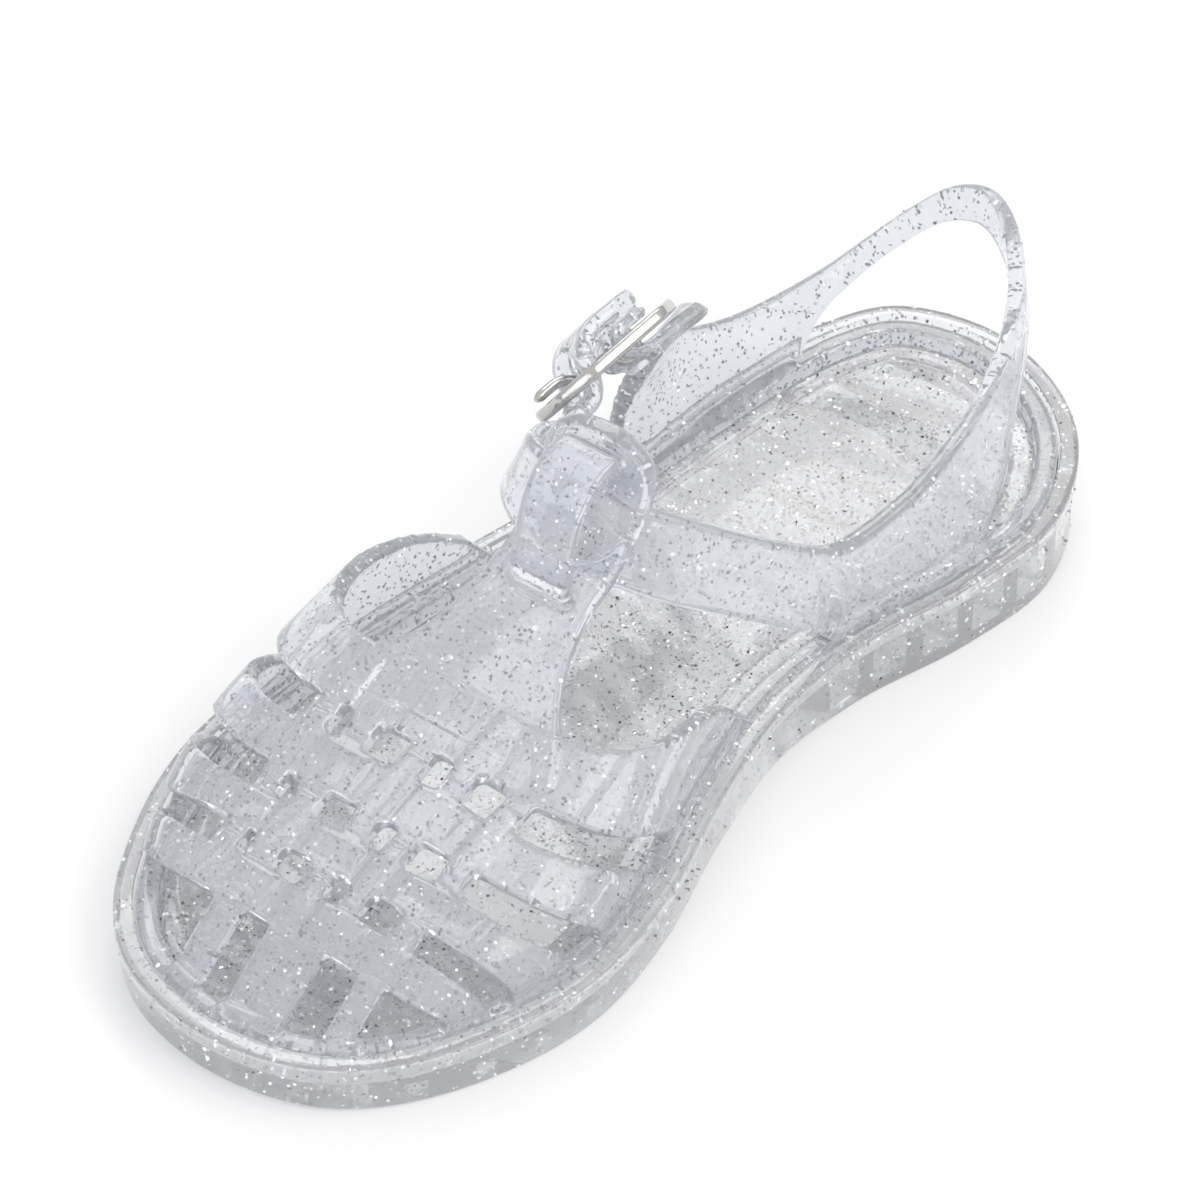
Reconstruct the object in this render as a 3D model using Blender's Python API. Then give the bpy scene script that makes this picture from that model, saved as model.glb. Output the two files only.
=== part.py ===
# Jelly sandal, right foot: a clear moulded sandal with a woven vamp, a T-bar, a heel strap and a side buckle.
# Sizes are millimetres. A station is the distance from the back of the heel, and across is positive towards
# the inner side of the foot. The toe points to -Y and the shoe stands on Z = 0.

import math

import bpy
import bmesh
from mathutils import Vector

for old in list(bpy.data.objects):
    bpy.data.objects.remove(old, do_unlink=True)

MM = 0.001

# Driving sizes
SHOE_LENGTH = 162.5
MIDDLE_ACROSS = -0.512
RIM_AT_HEEL = 13.0
RIM_AT_TOE = 7.6
TOE_SPRING = 0.5
TOE_SPRING_FROM = 138.0
GAP = 0.3

# Sole edge
BEAD_OUT = 0.4
BEAD_TALL = 2.4
BEAD_BEVEL = 0.5
BASE_BEVEL = 0.5
SIDE_SLANT = 0.2
LEDGE = 2.2
TRAY_DEPTH = 4.2

# Upper wall and its base ring
WALL = 2.2
STRAP_WALL = 2.4
RAISED = 0.8
RING_WIDTH = 2.8
RING_BEVEL = 0.3
WALL_FOOT_IN = 0.2
EDGE_BEVEL = 0.6
MOST_BEVEL_SHARE = 0.3
ROOT_DEPTH = 2.2

# Footbed
FOOTBED_DROP = 1.5
FOOTBED_EDGE = 0.7
FOOTBED_BORDER = 2.6
FOOTBED_STEP = (0.8, 0.5)

# Underside
POCKET_WALL = 5.0
HEEL_POCKET_DEPTH = 6.2
HEEL_RIB = 2.6
HEEL_POCKETS = (9.0, 62.0, 7)
TREAD_DEPTH = 1.4
TREAD_GROOVE = 2.2
TREAD_GROOVES = (92.0, 146.0, 8)
CUTTER_BELOW = -1.0
ARCH_RISE = 0.7
ARCH = (60.0, 88.0)

# Section of the vamp: 2 is an ellipse and more is squarer, and its sides bulge over the rim
VAMP_ROUNDNESS = 2.8
VAMP_BULGE = 0.8

# Plan of the sole: both edges at each station, from the back of the heel to the tip of the toe
SOLE_PLAN = (
    # station, outer edge, inner edge
    (0.0, 4.5, 4.5),
    (3.5, -8.4, 17.0),
    (12.0, -14.3, 27.0),
    (26.0, -18.3, 32.7),
    (42.0, -20.8, 30.8),
    (60.0, -23.3, 25.5),
    (76.0, -27.1, 24.2),
    (92.0, -30.6, 26.9),
    (110.0, -33.7, 31.7),
    (126.0, -33.7, 33.0),
    (140.0, -29.8, 29.4),
    (152.5, -22.8, 22.2),
    (159.6, -13.8, 13.6),
    (162.5, 0.0, 0.0),
)

# Crown line of the last over the vamp
CROWN = (
    # station, height
    (84.0, 46.0),
    (95.0, 38.0),
    (107.0, 31.0),
    (115.0, 27.5),
    (125.0, 24.0),
    (135.0, 20.5),
    (146.0, 16.2),
    (152.6, 12.4),
    (158.8, 7.8),
)

# Cross straps of the woven vamp: stations of the back and front edges at the outer rim, crown and inner rim
CROSS_STRAPS = (
    # outer back, outer front, crown back, crown front, inner back, inner front
    (74.5, 96.7, 112.0, 120.5, 80.0, 103.0),
    (104.4, 115.4, 124.7, 131.0, 109.4, 121.4),
    (122.4, 133.6, 134.9, 139.5, 127.5, 136.2),
    (136.6, 143.5, 143.0, 148.3, 139.8, 144.6),
)
STRAP_SWEEP = 2.7

# Lengthwise ribs of the weave: how far across each edge lies at the back of the weave and at the toe
RIBS = (
    # back outer edge, back inner edge, toe outer edge, toe inner edge
    (-15.2, -11.4, -14.6, -11.2),
    (-8.9, -5.0, -10.0, -5.6),
    (0.2, 4.0, -1.2, 2.2),
    (7.5, 11.2, 4.4, 7.4),
    (15.4, 19.0, 12.6, 16.0),
)
RIB_STATIONS = (112.0, 150.0)
# Ribs that carry on over the toe: the two middle ones widen into one panel
TOE_RIBS = (1, 2, 3, 4)
TOE_PANEL = (2, 3)

# Heel strap, both quarters and the ankle strap are one band, from its end behind the buckle round the heel
# and over the instep to its tip: upper edge and lower edge of each section
BAND = (
    # upper across, upper station, upper height, lower across, lower station, lower height
    (-12.8, 45.2, 39.0, -17.8, 50.6, 29.0),
    (-17.4, 42.4, 33.2, -19.8, 52.6, 18.6),
    (-20.2, 39.6, 28.2, -17.8, 50.6, 8.6),
    (-20.4, 36.4, 25.2, -16.6, 43.0, 9.2),
    (-19.2, 31.5, 23.4, -14.9, 35.5, 9.6),
    (-17.8, 26.0, 22.4, -13.7, 28.5, 9.9),
    (-15.9, 20.6, 22.8, -12.4, 22.6, 12.4),
    (-12.6, 15.0, 25.4, -11.4, 17.4, 19.2),
    (-8.6, 10.4, 29.9, -8.2, 12.4, 24.8),
    (-4.4, 6.8, 34.6, -4.2, 8.4, 29.6),
    (0.6, 4.2, 39.0, 0.6, 5.6, 33.8),
    (6.2, 4.2, 41.0, 6.2, 5.0, 35.6),
    (11.8, 7.2, 39.8, 12.0, 7.6, 34.4),
    (16.4, 12.6, 36.2, 16.8, 11.4, 31.0),
    (19.6, 19.4, 33.4, 20.6, 17.0, 28.0),
    (22.0, 27.0, 31.4, 24.0, 24.0, 24.0),
    (23.6, 34.0, 30.6, 26.6, 31.0, 16.8),
    (24.6, 41.0, 30.0, 27.2, 38.6, 8.8),
    (25.0, 48.0, 29.2, 25.6, 45.6, 8.6),
    (24.4, 55.0, 28.6, 23.2, 52.4, 8.4),
    (23.6, 61.6, 28.8, 21.2, 59.0, 8.8),
    (22.4, 66.8, 31.4, 22.6, 66.0, 15.8),
    (20.2, 71.6, 34.6, 21.0, 73.0, 21.6),
    (16.8, 77.4, 38.8, 18.2, 80.2, 27.0),
    (12.6, 82.8, 43.0, 13.8, 86.4, 31.4),
    (7.8, 86.8, 46.0, 8.6, 90.6, 34.6),
    (2.0, 88.6, 47.6, 2.4, 92.4, 36.2),
    (-4.0, 87.4, 47.6, -4.2, 91.4, 36.4),
    (-8.4, 84.2, 46.0, -10.8, 87.2, 35.4),
    (-10.2, 79.6, 43.6, -15.0, 80.8, 33.4),
)

# T-bar from the first cross strap up to its rounded tab: both edges of each section
T_BAR = (
    # outer across, inner across, station, height
    (-17.0, 19.0, 116.5, 25.2),
    (-12.8, 16.4, 112.0, 27.6),
    (-8.8, 13.6, 108.0, 30.2),
    (-6.0, 11.8, 103.6, 33.6),
    (-5.0, 11.1, 98.6, 36.4),
    (-4.6, 11.2, 94.0, 39.0),
    (-4.2, 11.6, 90.2, 43.0),
    (-4.0, 12.4, 88.2, 47.6),
    (-3.8, 12.8, 87.6, 51.4),
    (-2.4, 12.0, 87.4, 54.4),
    (0.4, 9.6, 87.4, 56.4),
    (3.2, 6.8, 87.4, 57.2),
)

# Buckle on the outer side, in its own frame: along is positive towards the heel, out is away from the foot
BUCKLE_CENTRE = (-14.6, 61.3, 39.6)
BUCKLE_ALONG = (0.08, -0.98, 0.12)
BUCKLE_OUT = (-0.82, 0.1, 0.56)
BUCKLE_LENGTH = 23.0
BUCKLE_HEIGHT = 16.6
BUCKLE_CHAMFER = 4.6
BUCKLE_BAR = 2.1
BUCKLE_DEPTH = 1.8
BUCKLE_BEVEL = 0.35
INNER_CHAMFER_SHARE = 0.55
HINGE_BAR_AT = 3.4
HINGE_BAR_RADIUS = 0.85
PRONG_RADIUS = 0.75
PRONG_CURL = (150.0, -100.0, 8)
PRONG = (
    # along, out
    (0.4, 0.3),
    (-2.2, 0.2),
    (-4.6, 0.1),
    (-7.0, 1.9),
    (-9.4, 2.15),
    (-11.6, 2.1),
)
PRONG_SLOTS = (
    # along from, along to, out from, out to, width
    (-8.5, -2.8, -3.4, 4.6, 3.0),
    (-0.4, 6.6, -4.6, 2.9, 2.5),
)
STRAP_END = (
    # along, out, width
    (-13.2, -2.9, 11.2),
    (-10.2, -2.8, 10.4),
    (-7.6, -2.7, 10.0),
    (-6.0, -1.6, 9.8),
    (-4.8, 0.6, 9.8),
    (-3.6, 3.0, 10.2),
    (-1.4, 4.4, 10.4),
    (1.6, 4.5, 10.6),
    (5.2, 4.4, 9.6),
    (7.6, 4.3, 6.4),
    (8.8, 4.3, 2.6),
)
STUB_END = (
    # along, out, width
    (3.6, -2.7, 10.0),
    (6.0, -2.7, 10.4),
    (9.0, -2.7, 10.6),
    (13.0, -2.9, 11.0),
)
# The stub's thin end is folded round the hinge bar and ends over it
FOLD_WALL = 1.4
FOLD = (
    # along, out, width
    (6.6, -2.5, 10.0),
    (3.4, -1.95, 10.0),
    (2.0, -1.35, 10.0),
    (1.45, 0.0, 10.0),
    (2.0, 1.35, 10.0),
    (3.4, 1.95, 10.0),
    (5.4, 1.9, 9.6),
    (7.0, 1.8, 9.0),
)

# Keeper in front of the tab, which the ankle strap runs behind
KEEPER_WIDTH = 9.2
KEEPER_WALL = 1.8
KEEPER = (
    # station, height, where the keeper's front band stands off the T-bar
    (89.4, 54.6),
    (93.6, 53.6),
    (96.6, 50.0),
    (98.4, 43.0),
    (98.8, 37.6),
    (97.6, 34.6),
)
KEEPER_ACROSS = (4.4, 3.2)

OUTLINE_STEPS = 4
CROWN_STEPS = 6
BAND_STEPS = 3
T_BAR_STEPS = 3
KEEPER_STEPS = 3
FOLD_STEPS = 2
TOE_RIB_STEPS = (5, 2)
SLAB_STEPS = 3
ROD_SIDES = 8

MATERIALS = {
    # name: colour, roughness, metallic
    "clear_upper": ((0.80, 0.83, 0.88), 0.12, 0.0),
    "clear_sole": ((0.74, 0.78, 0.85), 0.15, 0.0),
    "clear_footbed": ((0.78, 0.80, 0.86), 0.22, 0.0),
    "bright_nickel": ((0.83, 0.80, 0.76), 0.16, 1.0),
}


def place(across, station, height):
    return Vector(((across - MIDDLE_ACROSS) * MM, (SHOE_LENGTH / 2 - station) * MM, height * MM))


def material(name):
    colour, roughness, metallic = MATERIALS[name]
    made = bpy.data.materials.new(name)
    made.use_nodes = True
    shader = made.node_tree.nodes["Principled BSDF"]
    shader.inputs["Base Color"].default_value = (*colour, 1.0)
    shader.inputs["Roughness"].default_value = roughness
    shader.inputs["Metallic"].default_value = metallic
    made.diffuse_color = (*colour, 1.0)
    return made


def solid(name, points, faces, finish=None):
    mesh = bpy.data.meshes.new(name)
    mesh.from_pydata(points, [], faces)
    shape = bmesh.new()
    shape.from_mesh(mesh)
    bmesh.ops.recalc_face_normals(shape, faces=shape.faces)
    if shape.calc_volume(signed=True) < 0:
        bmesh.ops.reverse_faces(shape, faces=shape.faces)
    shape.to_mesh(mesh)
    shape.free()
    made = bpy.data.objects.new(name, mesh)
    bpy.context.scene.collection.objects.link(made)
    if finish:
        mesh.materials.append(finish)
    return made


def helper(made):
    made.hide_render = True
    made.display_type = "WIRE"
    return made


def combine(target, other, operation):
    helper(other)
    change = target.modifiers.new(f"{operation.title()} {other.name}", "BOOLEAN")
    change.operation = operation
    change.object = other


def spline(rows, steps, closed=False):
    # Centripetal Catmull-Rom curve through rows of any number of values
    rows = [Vector(row) for row in rows]
    count = len(rows)
    made = []
    for i in range(count if closed else count - 1):
        here = rows[i]
        after = rows[(i + 1) % count]
        before = rows[i - 1] if closed or i else here * 2 - after
        beyond = rows[(i + 2) % count] if closed or i + 2 < count else after * 2 - here
        t0 = 0.0
        t1 = t0 + math.sqrt((here - before).length)
        t2 = t1 + math.sqrt((after - here).length)
        t3 = t2 + math.sqrt((beyond - after).length)
        for step in range(steps):
            t = t1 + (t2 - t1) * step / steps
            a1 = before.lerp(here, (t - t0) / (t1 - t0))
            a2 = here.lerp(after, (t - t1) / (t2 - t1))
            a3 = after.lerp(beyond, (t - t2) / (t3 - t2))
            b1 = a1.lerp(a2, (t - t0) / (t2 - t0))
            b2 = a2.lerp(a3, (t - t1) / (t3 - t1))
            made.append(b1.lerp(b2, (t - t1) / (t2 - t1)))
    if not closed:
        made.append(rows[-1])
    return made


def value_at(rows, station):
    # Linear reading of (station, value) rows in rising order
    for (s0, v0), (s1, v1) in zip(rows, rows[1:]):
        if station <= s1:
            return v0 + (v1 - v0) * (station - s0) / (s1 - s0)
    return rows[-1][1]


def toe_lift(station):
    share = max(0.0, station - TOE_SPRING_FROM) / (SHOE_LENGTH - TOE_SPRING_FROM)
    return TOE_SPRING * share ** 2


def rim(station):
    share = station / SHOE_LENGTH
    return RIM_AT_HEEL + (RIM_AT_TOE - RIM_AT_HEEL) * share + toe_lift(station)


def underside(station):
    start, end = ARCH
    share = min(max((station - start) / (end - start), 0.0), 1.0)
    return toe_lift(station) + ARCH_RISE * math.sin(math.pi * share) ** 2


def sole_outline():
    # Down the inner side from heel to toe and back up the outer side, as across and station
    inner = [(row[2], row[0]) for row in SOLE_PLAN]
    outer = [(row[1], row[0]) for row in SOLE_PLAN[-2:0:-1]]
    return spline(inner + outer, OUTLINE_STEPS, closed=True)


def inset(outline, distance):
    made = []
    for i, point in enumerate(outline):
        along = (outline[(i + 1) % len(outline)] - outline[i - 1]).normalized()
        made.append(point + Vector((-along.y, along.x)) * distance)
    return made


def ring(outline, distance, height):
    # One loop of the outline, moved in by distance, at the height that the station gives
    return [(p.x, p.y, height(p.y)) for p in inset(outline, distance)]


def loft(name, loops, finish=None, capped=True):
    # Joins loops of equal length. Caps run across from one side of the loop to the other
    size = len(loops[0])
    points = [place(*p) for loop in loops for p in loop]
    pairs = list(zip(range(len(loops)), range(1, len(loops))))
    if not capped:
        pairs.append((len(loops) - 1, 0))
    faces = []
    for a, b in pairs:
        for i in range(size):
            j = (i + 1) % size
            faces.append((a * size + i, a * size + j, b * size + j, b * size + i))
    if capped:
        for start in (0, (len(loops) - 1) * size):
            for i in range(size // 2):
                corners = (i, i + 1, (size - i - 1) % size, (size - i) % size)
                faces.append([start + c for c in dict.fromkeys(corners)])
    return solid(name, points, faces, finish)


def slab(name, outline, low, high, bounds):
    # A block cut out between two stations of an outline, from height low to height high
    first, last = bounds
    inner = []
    outer = []
    for step in range(SLAB_STEPS + 1):
        station = first + (last - first) * step / SLAB_STEPS
        left, right = sides_at(outline, station)
        outer.append((left, station))
        inner.append((right, station))
    edge = outer + inner[::-1]
    points = [place(*p, low) for p in edge] + [place(*p, high) for p in edge]
    count = len(edge)
    faces = [tuple(range(count)), tuple(range(count, 2 * count))]
    for i in range(count):
        j = (i + 1) % count
        faces.append((i, j, count + j, count + i))
    return solid(name, points, faces)


def sides_at(outline, station):
    # Outer and inner limits of an outline at a station
    found = []
    for a, b in zip(outline, outline[1:] + outline[:1]):
        if (a.y - station) * (b.y - station) <= 0 and a.y != b.y:
            found.append(a.x + (b.x - a.x) * (station - a.y) / (b.y - a.y))
    return min(found), max(found)


OUTLINE = sole_outline()
RING_OUT = LEDGE + GAP
RING_IN = RING_OUT + RING_WIDTH
WALL_FOOT = inset(OUTLINE, RING_OUT + WALL_FOOT_IN)
WALL_MIDDLE = inset(OUTLINE, RING_OUT + RING_WIDTH / 2)
CROWN_LINE = [tuple(p) for p in spline(CROWN, CROWN_STEPS)]


def below_rim(drop):
    return lambda station: rim(station) - drop


def above_base(lift):
    return lambda station: underside(station) + lift


def above_tray(lift):
    return lambda station: rim(station) - TRAY_DEPTH + GAP + lift


def build_sole():
    loops = [
        ring(OUTLINE, LEDGE, below_rim(TRAY_DEPTH)),
        ring(OUTLINE, LEDGE, below_rim(0.0)),
        ring(OUTLINE, BEAD_BEVEL - BEAD_OUT, below_rim(0.0)),
        ring(OUTLINE, -BEAD_OUT, below_rim(BEAD_BEVEL)),
        ring(OUTLINE, -BEAD_OUT, below_rim(BEAD_TALL)),
        ring(OUTLINE, 0.0, below_rim(BEAD_TALL + BEAD_BEVEL)),
        ring(OUTLINE, SIDE_SLANT, above_base(BASE_BEVEL)),
        ring(OUTLINE, SIDE_SLANT + BASE_BEVEL, above_base(0.0)),
    ]
    sole = loft("sole", loops, material("clear_sole"))
    pockets = inset(OUTLINE, POCKET_WALL)
    start, end, count = HEEL_POCKETS
    pitch = (end - start + HEEL_RIB) / count
    for i in range(count):
        first = start + i * pitch
        bounds = (first, first + pitch - HEEL_RIB)
        cutter = slab(f"heel_pocket_{i + 1}", pockets, CUTTER_BELOW, HEEL_POCKET_DEPTH, bounds)
        combine(sole, cutter, "DIFFERENCE")
    start, end, count = TREAD_GROOVES
    pitch = (end - start) / (count - 1)
    for i in range(count):
        first = start + i * pitch
        depth = TREAD_DEPTH + toe_lift(first)
        bounds = (first, first + TREAD_GROOVE)
        cutter = slab(f"tread_groove_{i + 1}", pockets, CUTTER_BELOW, depth, bounds)
        combine(sole, cutter, "DIFFERENCE")
    return sole


def build_footbed():
    edge = RING_IN + GAP
    step_in, step_down = FOOTBED_STEP
    border = edge + FOOTBED_BORDER
    loops = [
        ring(OUTLINE, edge, above_tray(0.0)),
        ring(OUTLINE, edge, below_rim(FOOTBED_DROP + FOOTBED_EDGE)),
        ring(OUTLINE, edge + FOOTBED_EDGE, below_rim(FOOTBED_DROP)),
        ring(OUTLINE, border, below_rim(FOOTBED_DROP)),
        ring(OUTLINE, border + step_in, below_rim(FOOTBED_DROP + step_down)),
    ]
    return loft("footbed", loops, material("clear_footbed"))


def build_base_ring():
    loops = [
        ring(OUTLINE, RING_OUT, above_tray(0.0)),
        ring(OUTLINE, RING_OUT, below_rim(RING_BEVEL)),
        ring(OUTLINE, RING_OUT + RING_BEVEL, below_rim(0.0)),
        ring(OUTLINE, RING_IN - RING_BEVEL, below_rim(0.0)),
        ring(OUTLINE, RING_IN, below_rim(RING_BEVEL)),
        ring(OUTLINE, RING_IN, above_tray(0.0)),
    ]
    return loft("base_ring", loops, capped=False)


def vamp_share(across, station):
    # How far round the arch of the vamp a place lies: -1 at the outer rim, 0 at the crown, 1 at the inner rim
    left, right = sides_at(WALL_FOOT, station)
    reach = (across - (left + right) / 2) / ((right - left) / 2)
    reach = min(max(reach, -1.0), 1.0)
    return math.copysign(math.asin(abs(reach) ** (VAMP_ROUNDNESS / 2)), reach) / (math.pi / 2)


def vamp_point(share, station):
    left, right = sides_at(WALL_FOOT, station)
    turn = share * math.pi / 2
    reach = math.copysign(abs(math.sin(turn)) ** (2 / VAMP_ROUNDNESS), turn)
    rise = abs(math.cos(turn)) ** (2 / VAMP_ROUNDNESS)
    base = rim(station)
    height = base + (value_at(CROWN_LINE, station) - base) * rise
    low_side = min(max(2 * abs(share) - 1, 0.0), 1.0)
    bulge = math.copysign(VAMP_BULGE * math.sin(math.pi * low_side) ** 2, share)
    across = (left + right) / 2 + (right - left) / 2 * reach + bulge
    return Vector((across, station, height))


def vamp_normal(share, station):
    near = 0.02
    low, high = max(share - near, -1.0), min(share + near, 1.0)
    across = vamp_point(high, station) - vamp_point(low, station)
    last = WALL_FOOT[len(WALL_FOOT) // 2].y - 0.05
    front = min(station + 0.4, last)
    along = vamp_point(share, front) - vamp_point(share, front - 0.8)
    return across.cross(along).normalized()


def rib_across(rib, edge, station):
    # edge is 0 for the outer edge and 1 for the inner edge of the rib
    back, toe = RIBS[rib][edge], RIBS[rib][edge + 2]
    first, last = RIB_STATIONS
    return back + (toe - back) * (station - first) / (last - first)


def row_station(row, share):
    outer, crown, inner = row
    side = inner if share > 0 else outer
    return crown - (crown - side) * abs(share) ** STRAP_SWEEP


def weave_rows():
    # Strap edges with a middle row in each strap and each gap. Each row: outer, crown and inner station
    rows = []
    for outer_b, outer_f, crown_b, crown_f, inner_b, inner_f in CROSS_STRAPS:
        back = Vector((outer_b, crown_b, inner_b))
        front = Vector((outer_f, crown_f, inner_f))
        if rows:
            rows.append((rows[-1] + back) / 2)
        rows += [back, (back + front) / 2, front]
    return rows


def weave_columns():
    # Side columns are shares of the way from the end rib to the rim, the others are rib edges and middles
    side = (1.0, 0.75, 0.5, 0.25)
    columns = [("outer", s) for s in side]
    last = len(RIBS) - 1
    for rib in range(len(RIBS)):
        columns += [("rib", rib, 0), ("rib", rib, 1)]
        if rib < last:
            columns.append(("between", rib))
    return columns + [("inner", s) for s in side[::-1]]


def weave_place(row, column):
    # Share and station where a row meets a column
    kind = column[0]
    last = len(RIBS) - 1
    share = 0.0
    for _ in range(3):
        station = row_station(row, share)
        if kind == "rib":
            across = rib_across(column[1], column[2], station)
            share = vamp_share(across, station)
        elif kind == "between":
            inner = rib_across(column[1], 1, station)
            outer = rib_across(column[1] + 1, 0, station)
            share = vamp_share((inner + outer) / 2, station)
        else:
            rib, edge, end = (0, 0, -1.0) if kind == "outer" else (last, 1, 1.0)
            from_rib = vamp_share(rib_across(rib, edge, row[1]), row[1])
            share = from_rib + (end - from_rib) * column[1]
    return share, row_station(row, share)


def rib_on_top(rib, strap):
    return (rib + strap) % 2 == 1


def weave_level(row, column, columns):
    # 0 is a hole, 1 the plain wall, 2 the strip that lies on top. Rows and columns here are cells
    kind = column_kind(column, columns)
    strap, part = divmod(row, 4)
    in_strap = part < 2
    if kind[0] == "rib":
        if in_strap:
            return 2
        beside = strap if part == 2 else strap + 1
        return 2 if rib_on_top(kind[1], beside) else 1
    if not in_strap:
        return 0
    if kind[0] == "between":
        return 1 if rib_on_top(kind[1], strap) else 2
    if kind[0] == "next to rib":
        return 1 if rib_on_top(kind[1], strap) else 2
    return 1


def column_kind(cell, columns):
    # What lies between column lines cell and cell + 1
    here, after = columns[cell], columns[cell + 1]
    if here[0] == "rib" and after[0] == "rib":
        return ("rib", here[1])
    if here[0] == "rib" and after[0] == "between":
        return ("between", here[1])
    if here[0] == "between":
        return ("between", after[1])
    if here[0] == "outer" and after[0] == "rib":
        return ("next to rib", after[1])
    if here[0] == "rib" and after[0] == "inner":
        return ("next to rib", here[1])
    return ("side", None)


def wall_mesh(name, places, levels):
    # A wall from a grid of (point, normal): each cell is a hole, plain or raised, with a step between them
    depth = {0: -WALL, 1: 0.0, 2: RAISED}
    index = {}
    points = []
    faces = []

    def corner(r, c, level):
        key = (r, c, level)
        if key not in index:
            point, normal = places[r][c]
            index[key] = len(points)
            points.append(place(*(point + normal * depth[level])))
        return index[key]

    rows, columns = len(levels), len(levels[0])

    def level_of(r, c):
        return levels[r][c] if 0 <= r < rows and 0 <= c < columns else 0

    for r in range(rows):
        for c in range(columns):
            level = level_of(r, c)
            if not level:
                continue
            square = ((r, c), (r, c + 1), (r + 1, c + 1), (r + 1, c))
            faces.append([corner(*p, level) for p in square])
            faces.append([corner(*p, 0) for p in square[::-1]])
            sides = ((r - 1, c, 0, 1), (r, c + 1, 1, 2), (r + 1, c, 2, 3), (r, c - 1, 3, 0))
            for other_r, other_c, a, b in sides:
                for step in range(level_of(other_r, other_c), level):
                    p, q = square[a], square[b]
                    faces.append([corner(*q, step), corner(*p, step), corner(*p, step + 1), corner(*q, step + 1)])
    return solid(name, points, faces)


def rooted(places):
    # Adds a line of points below the last one, so that a strap stands in the base ring
    point, normal = places[-1]
    flat = Vector((normal.x, normal.y, 0.0)).normalized()
    return places + [(point - Vector((0.0, 0.0, ROOT_DEPTH)), flat)]


def build_weave():
    rows = weave_rows()
    columns = weave_columns()
    places = []
    for row in rows:
        line = []
        for column in columns:
            share, station = weave_place(row, column)
            line.append((vamp_point(share, station), vamp_normal(share, station)))
        line = rooted(rooted(line)[::-1])
        places.append(line)
    levels = []
    for r in range(len(rows) - 1):
        inside = [weave_level(r, c, columns) for c in range(len(columns) - 1)]
        root = 1 if r % 4 < 2 else 0
        levels.append([root] + inside + [root])
    return wall_mesh("weave", places, levels)


def toe_station(across):
    # Station where the middle of the vamp's wall meets the base ring at the toe
    low, high = RIB_STATIONS[1] - 8.0, max(p.y for p in WALL_MIDDLE) - 0.02
    for _ in range(30):
        middle = (low + high) / 2
        left, right = sides_at(WALL_MIDDLE, middle)
        if left < across < right:
            low = middle
        else:
            high = middle
    return low


def toe_edge(across, steps):
    # One edge of a toe rib: from under the front cross strap, down to the rim and into the base ring
    strap = CROSS_STRAPS[-1]
    row = (strap[0] + strap[1], strap[2] + strap[3], strap[4] + strap[5])
    start = row_station([value / 2 for value in row], vamp_share(across, row[1] / 2))
    end = toe_station(across)
    made = []
    for step in range(steps):
        station = start + (end - start) * step / steps
        point = vamp_point(vamp_share(across, station), station)
        made.append((across, station, point.z - WALL * 0.7))
    made.append((across, end, rim(end)))
    made.append((across, end, rim(end) - ROOT_DEPTH))
    return made


def build_toe_rib(name, outer, inner):
    points, steps = TOE_RIB_STEPS
    rows = [(*a, *b) for a, b in zip(toe_edge(outer, points), toe_edge(inner, points))]
    return band(name, rows, steps, WALL)


def band_section(upper, lower, out, thickness):
    # Eight-sided section of a strap with bevelled edges, between its upper and lower edge
    up = (upper - lower).normalized()
    half = thickness / 2
    bevel = min(EDGE_BEVEL, thickness * MOST_BEVEL_SHARE)
    made = []
    for edge, sign in ((upper, 1), (lower, -1)):
        near = [edge - up * sign * bevel + out * half, edge + out * (half - bevel)]
        far = [edge - out * (half - bevel), edge - up * sign * bevel - out * half]
        made += near + far if sign > 0 else (near + far)[::-1]
    return made


def band(name, rows, steps, thickness):
    # A strap through rows of six values: upper edge and lower edge as across, station and height
    line = spline(rows, steps)
    uppers = [Vector(row[:3]) for row in line]
    lowers = [Vector(row[3:]) for row in line]
    middles = [(u + w) / 2 for u, w in zip(uppers, lowers)]
    points = []
    for i, (upper, lower) in enumerate(zip(uppers, lowers)):
        along = middles[min(i + 1, len(line) - 1)] - middles[max(i - 1, 0)]
        out = along.cross(upper - lower).normalized()
        points += [place(*p) for p in band_section(upper, lower, out, thickness)]
    size = 8
    faces = [tuple(range(size)), tuple(range(len(points) - size, len(points)))]
    for i in range(len(line) - 1):
        for a in range(size):
            b = (a + 1) % size
            faces.append((i * size + a, i * size + b, (i + 1) * size + b, (i + 1) * size + a))
    return solid(name, points, faces)


def buckle_axes():
    # Axes in across, station and height
    along = Vector(BUCKLE_ALONG).normalized()
    out = Vector(BUCKLE_OUT)
    out = (out - along * out.dot(along)).normalized()
    up = along.cross(out)
    if up.z < 0:
        up.negate()
    return Vector(BUCKLE_CENTRE), along, up, out


def in_buckle(along, up, out):
    centre, axis_along, axis_up, axis_out = buckle_axes()
    return centre + axis_along * along + axis_up * up + axis_out * out


def buckle_rows(table):
    rows = []
    for along, out, width in table:
        upper = in_buckle(along, width / 2, out)
        lower = in_buckle(along, -width / 2, out)
        rows.append((*upper, *lower))
    return rows


def build_band():
    rows = buckle_rows(STUB_END) + list(BAND) + buckle_rows(STRAP_END)
    return band("strap_band", rows, BAND_STEPS, STRAP_WALL)


def build_t_bar():
    rows = []
    for outer, inner, station, height in T_BAR:
        rows.append((outer, station, height, inner, station, height))
    return band("t_bar", rows, T_BAR_STEPS, STRAP_WALL)


def build_keeper():
    rows = []
    last = len(KEEPER) - 1
    for i, (station, height) in enumerate(KEEPER):
        across = KEEPER_ACROSS[0] + (KEEPER_ACROSS[1] - KEEPER_ACROSS[0]) * i / last
        half = KEEPER_WIDTH / 2
        rows.append((across - half, station, height, across + half, station, height))
    return band("keeper", rows, KEEPER_STEPS, KEEPER_WALL)


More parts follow.
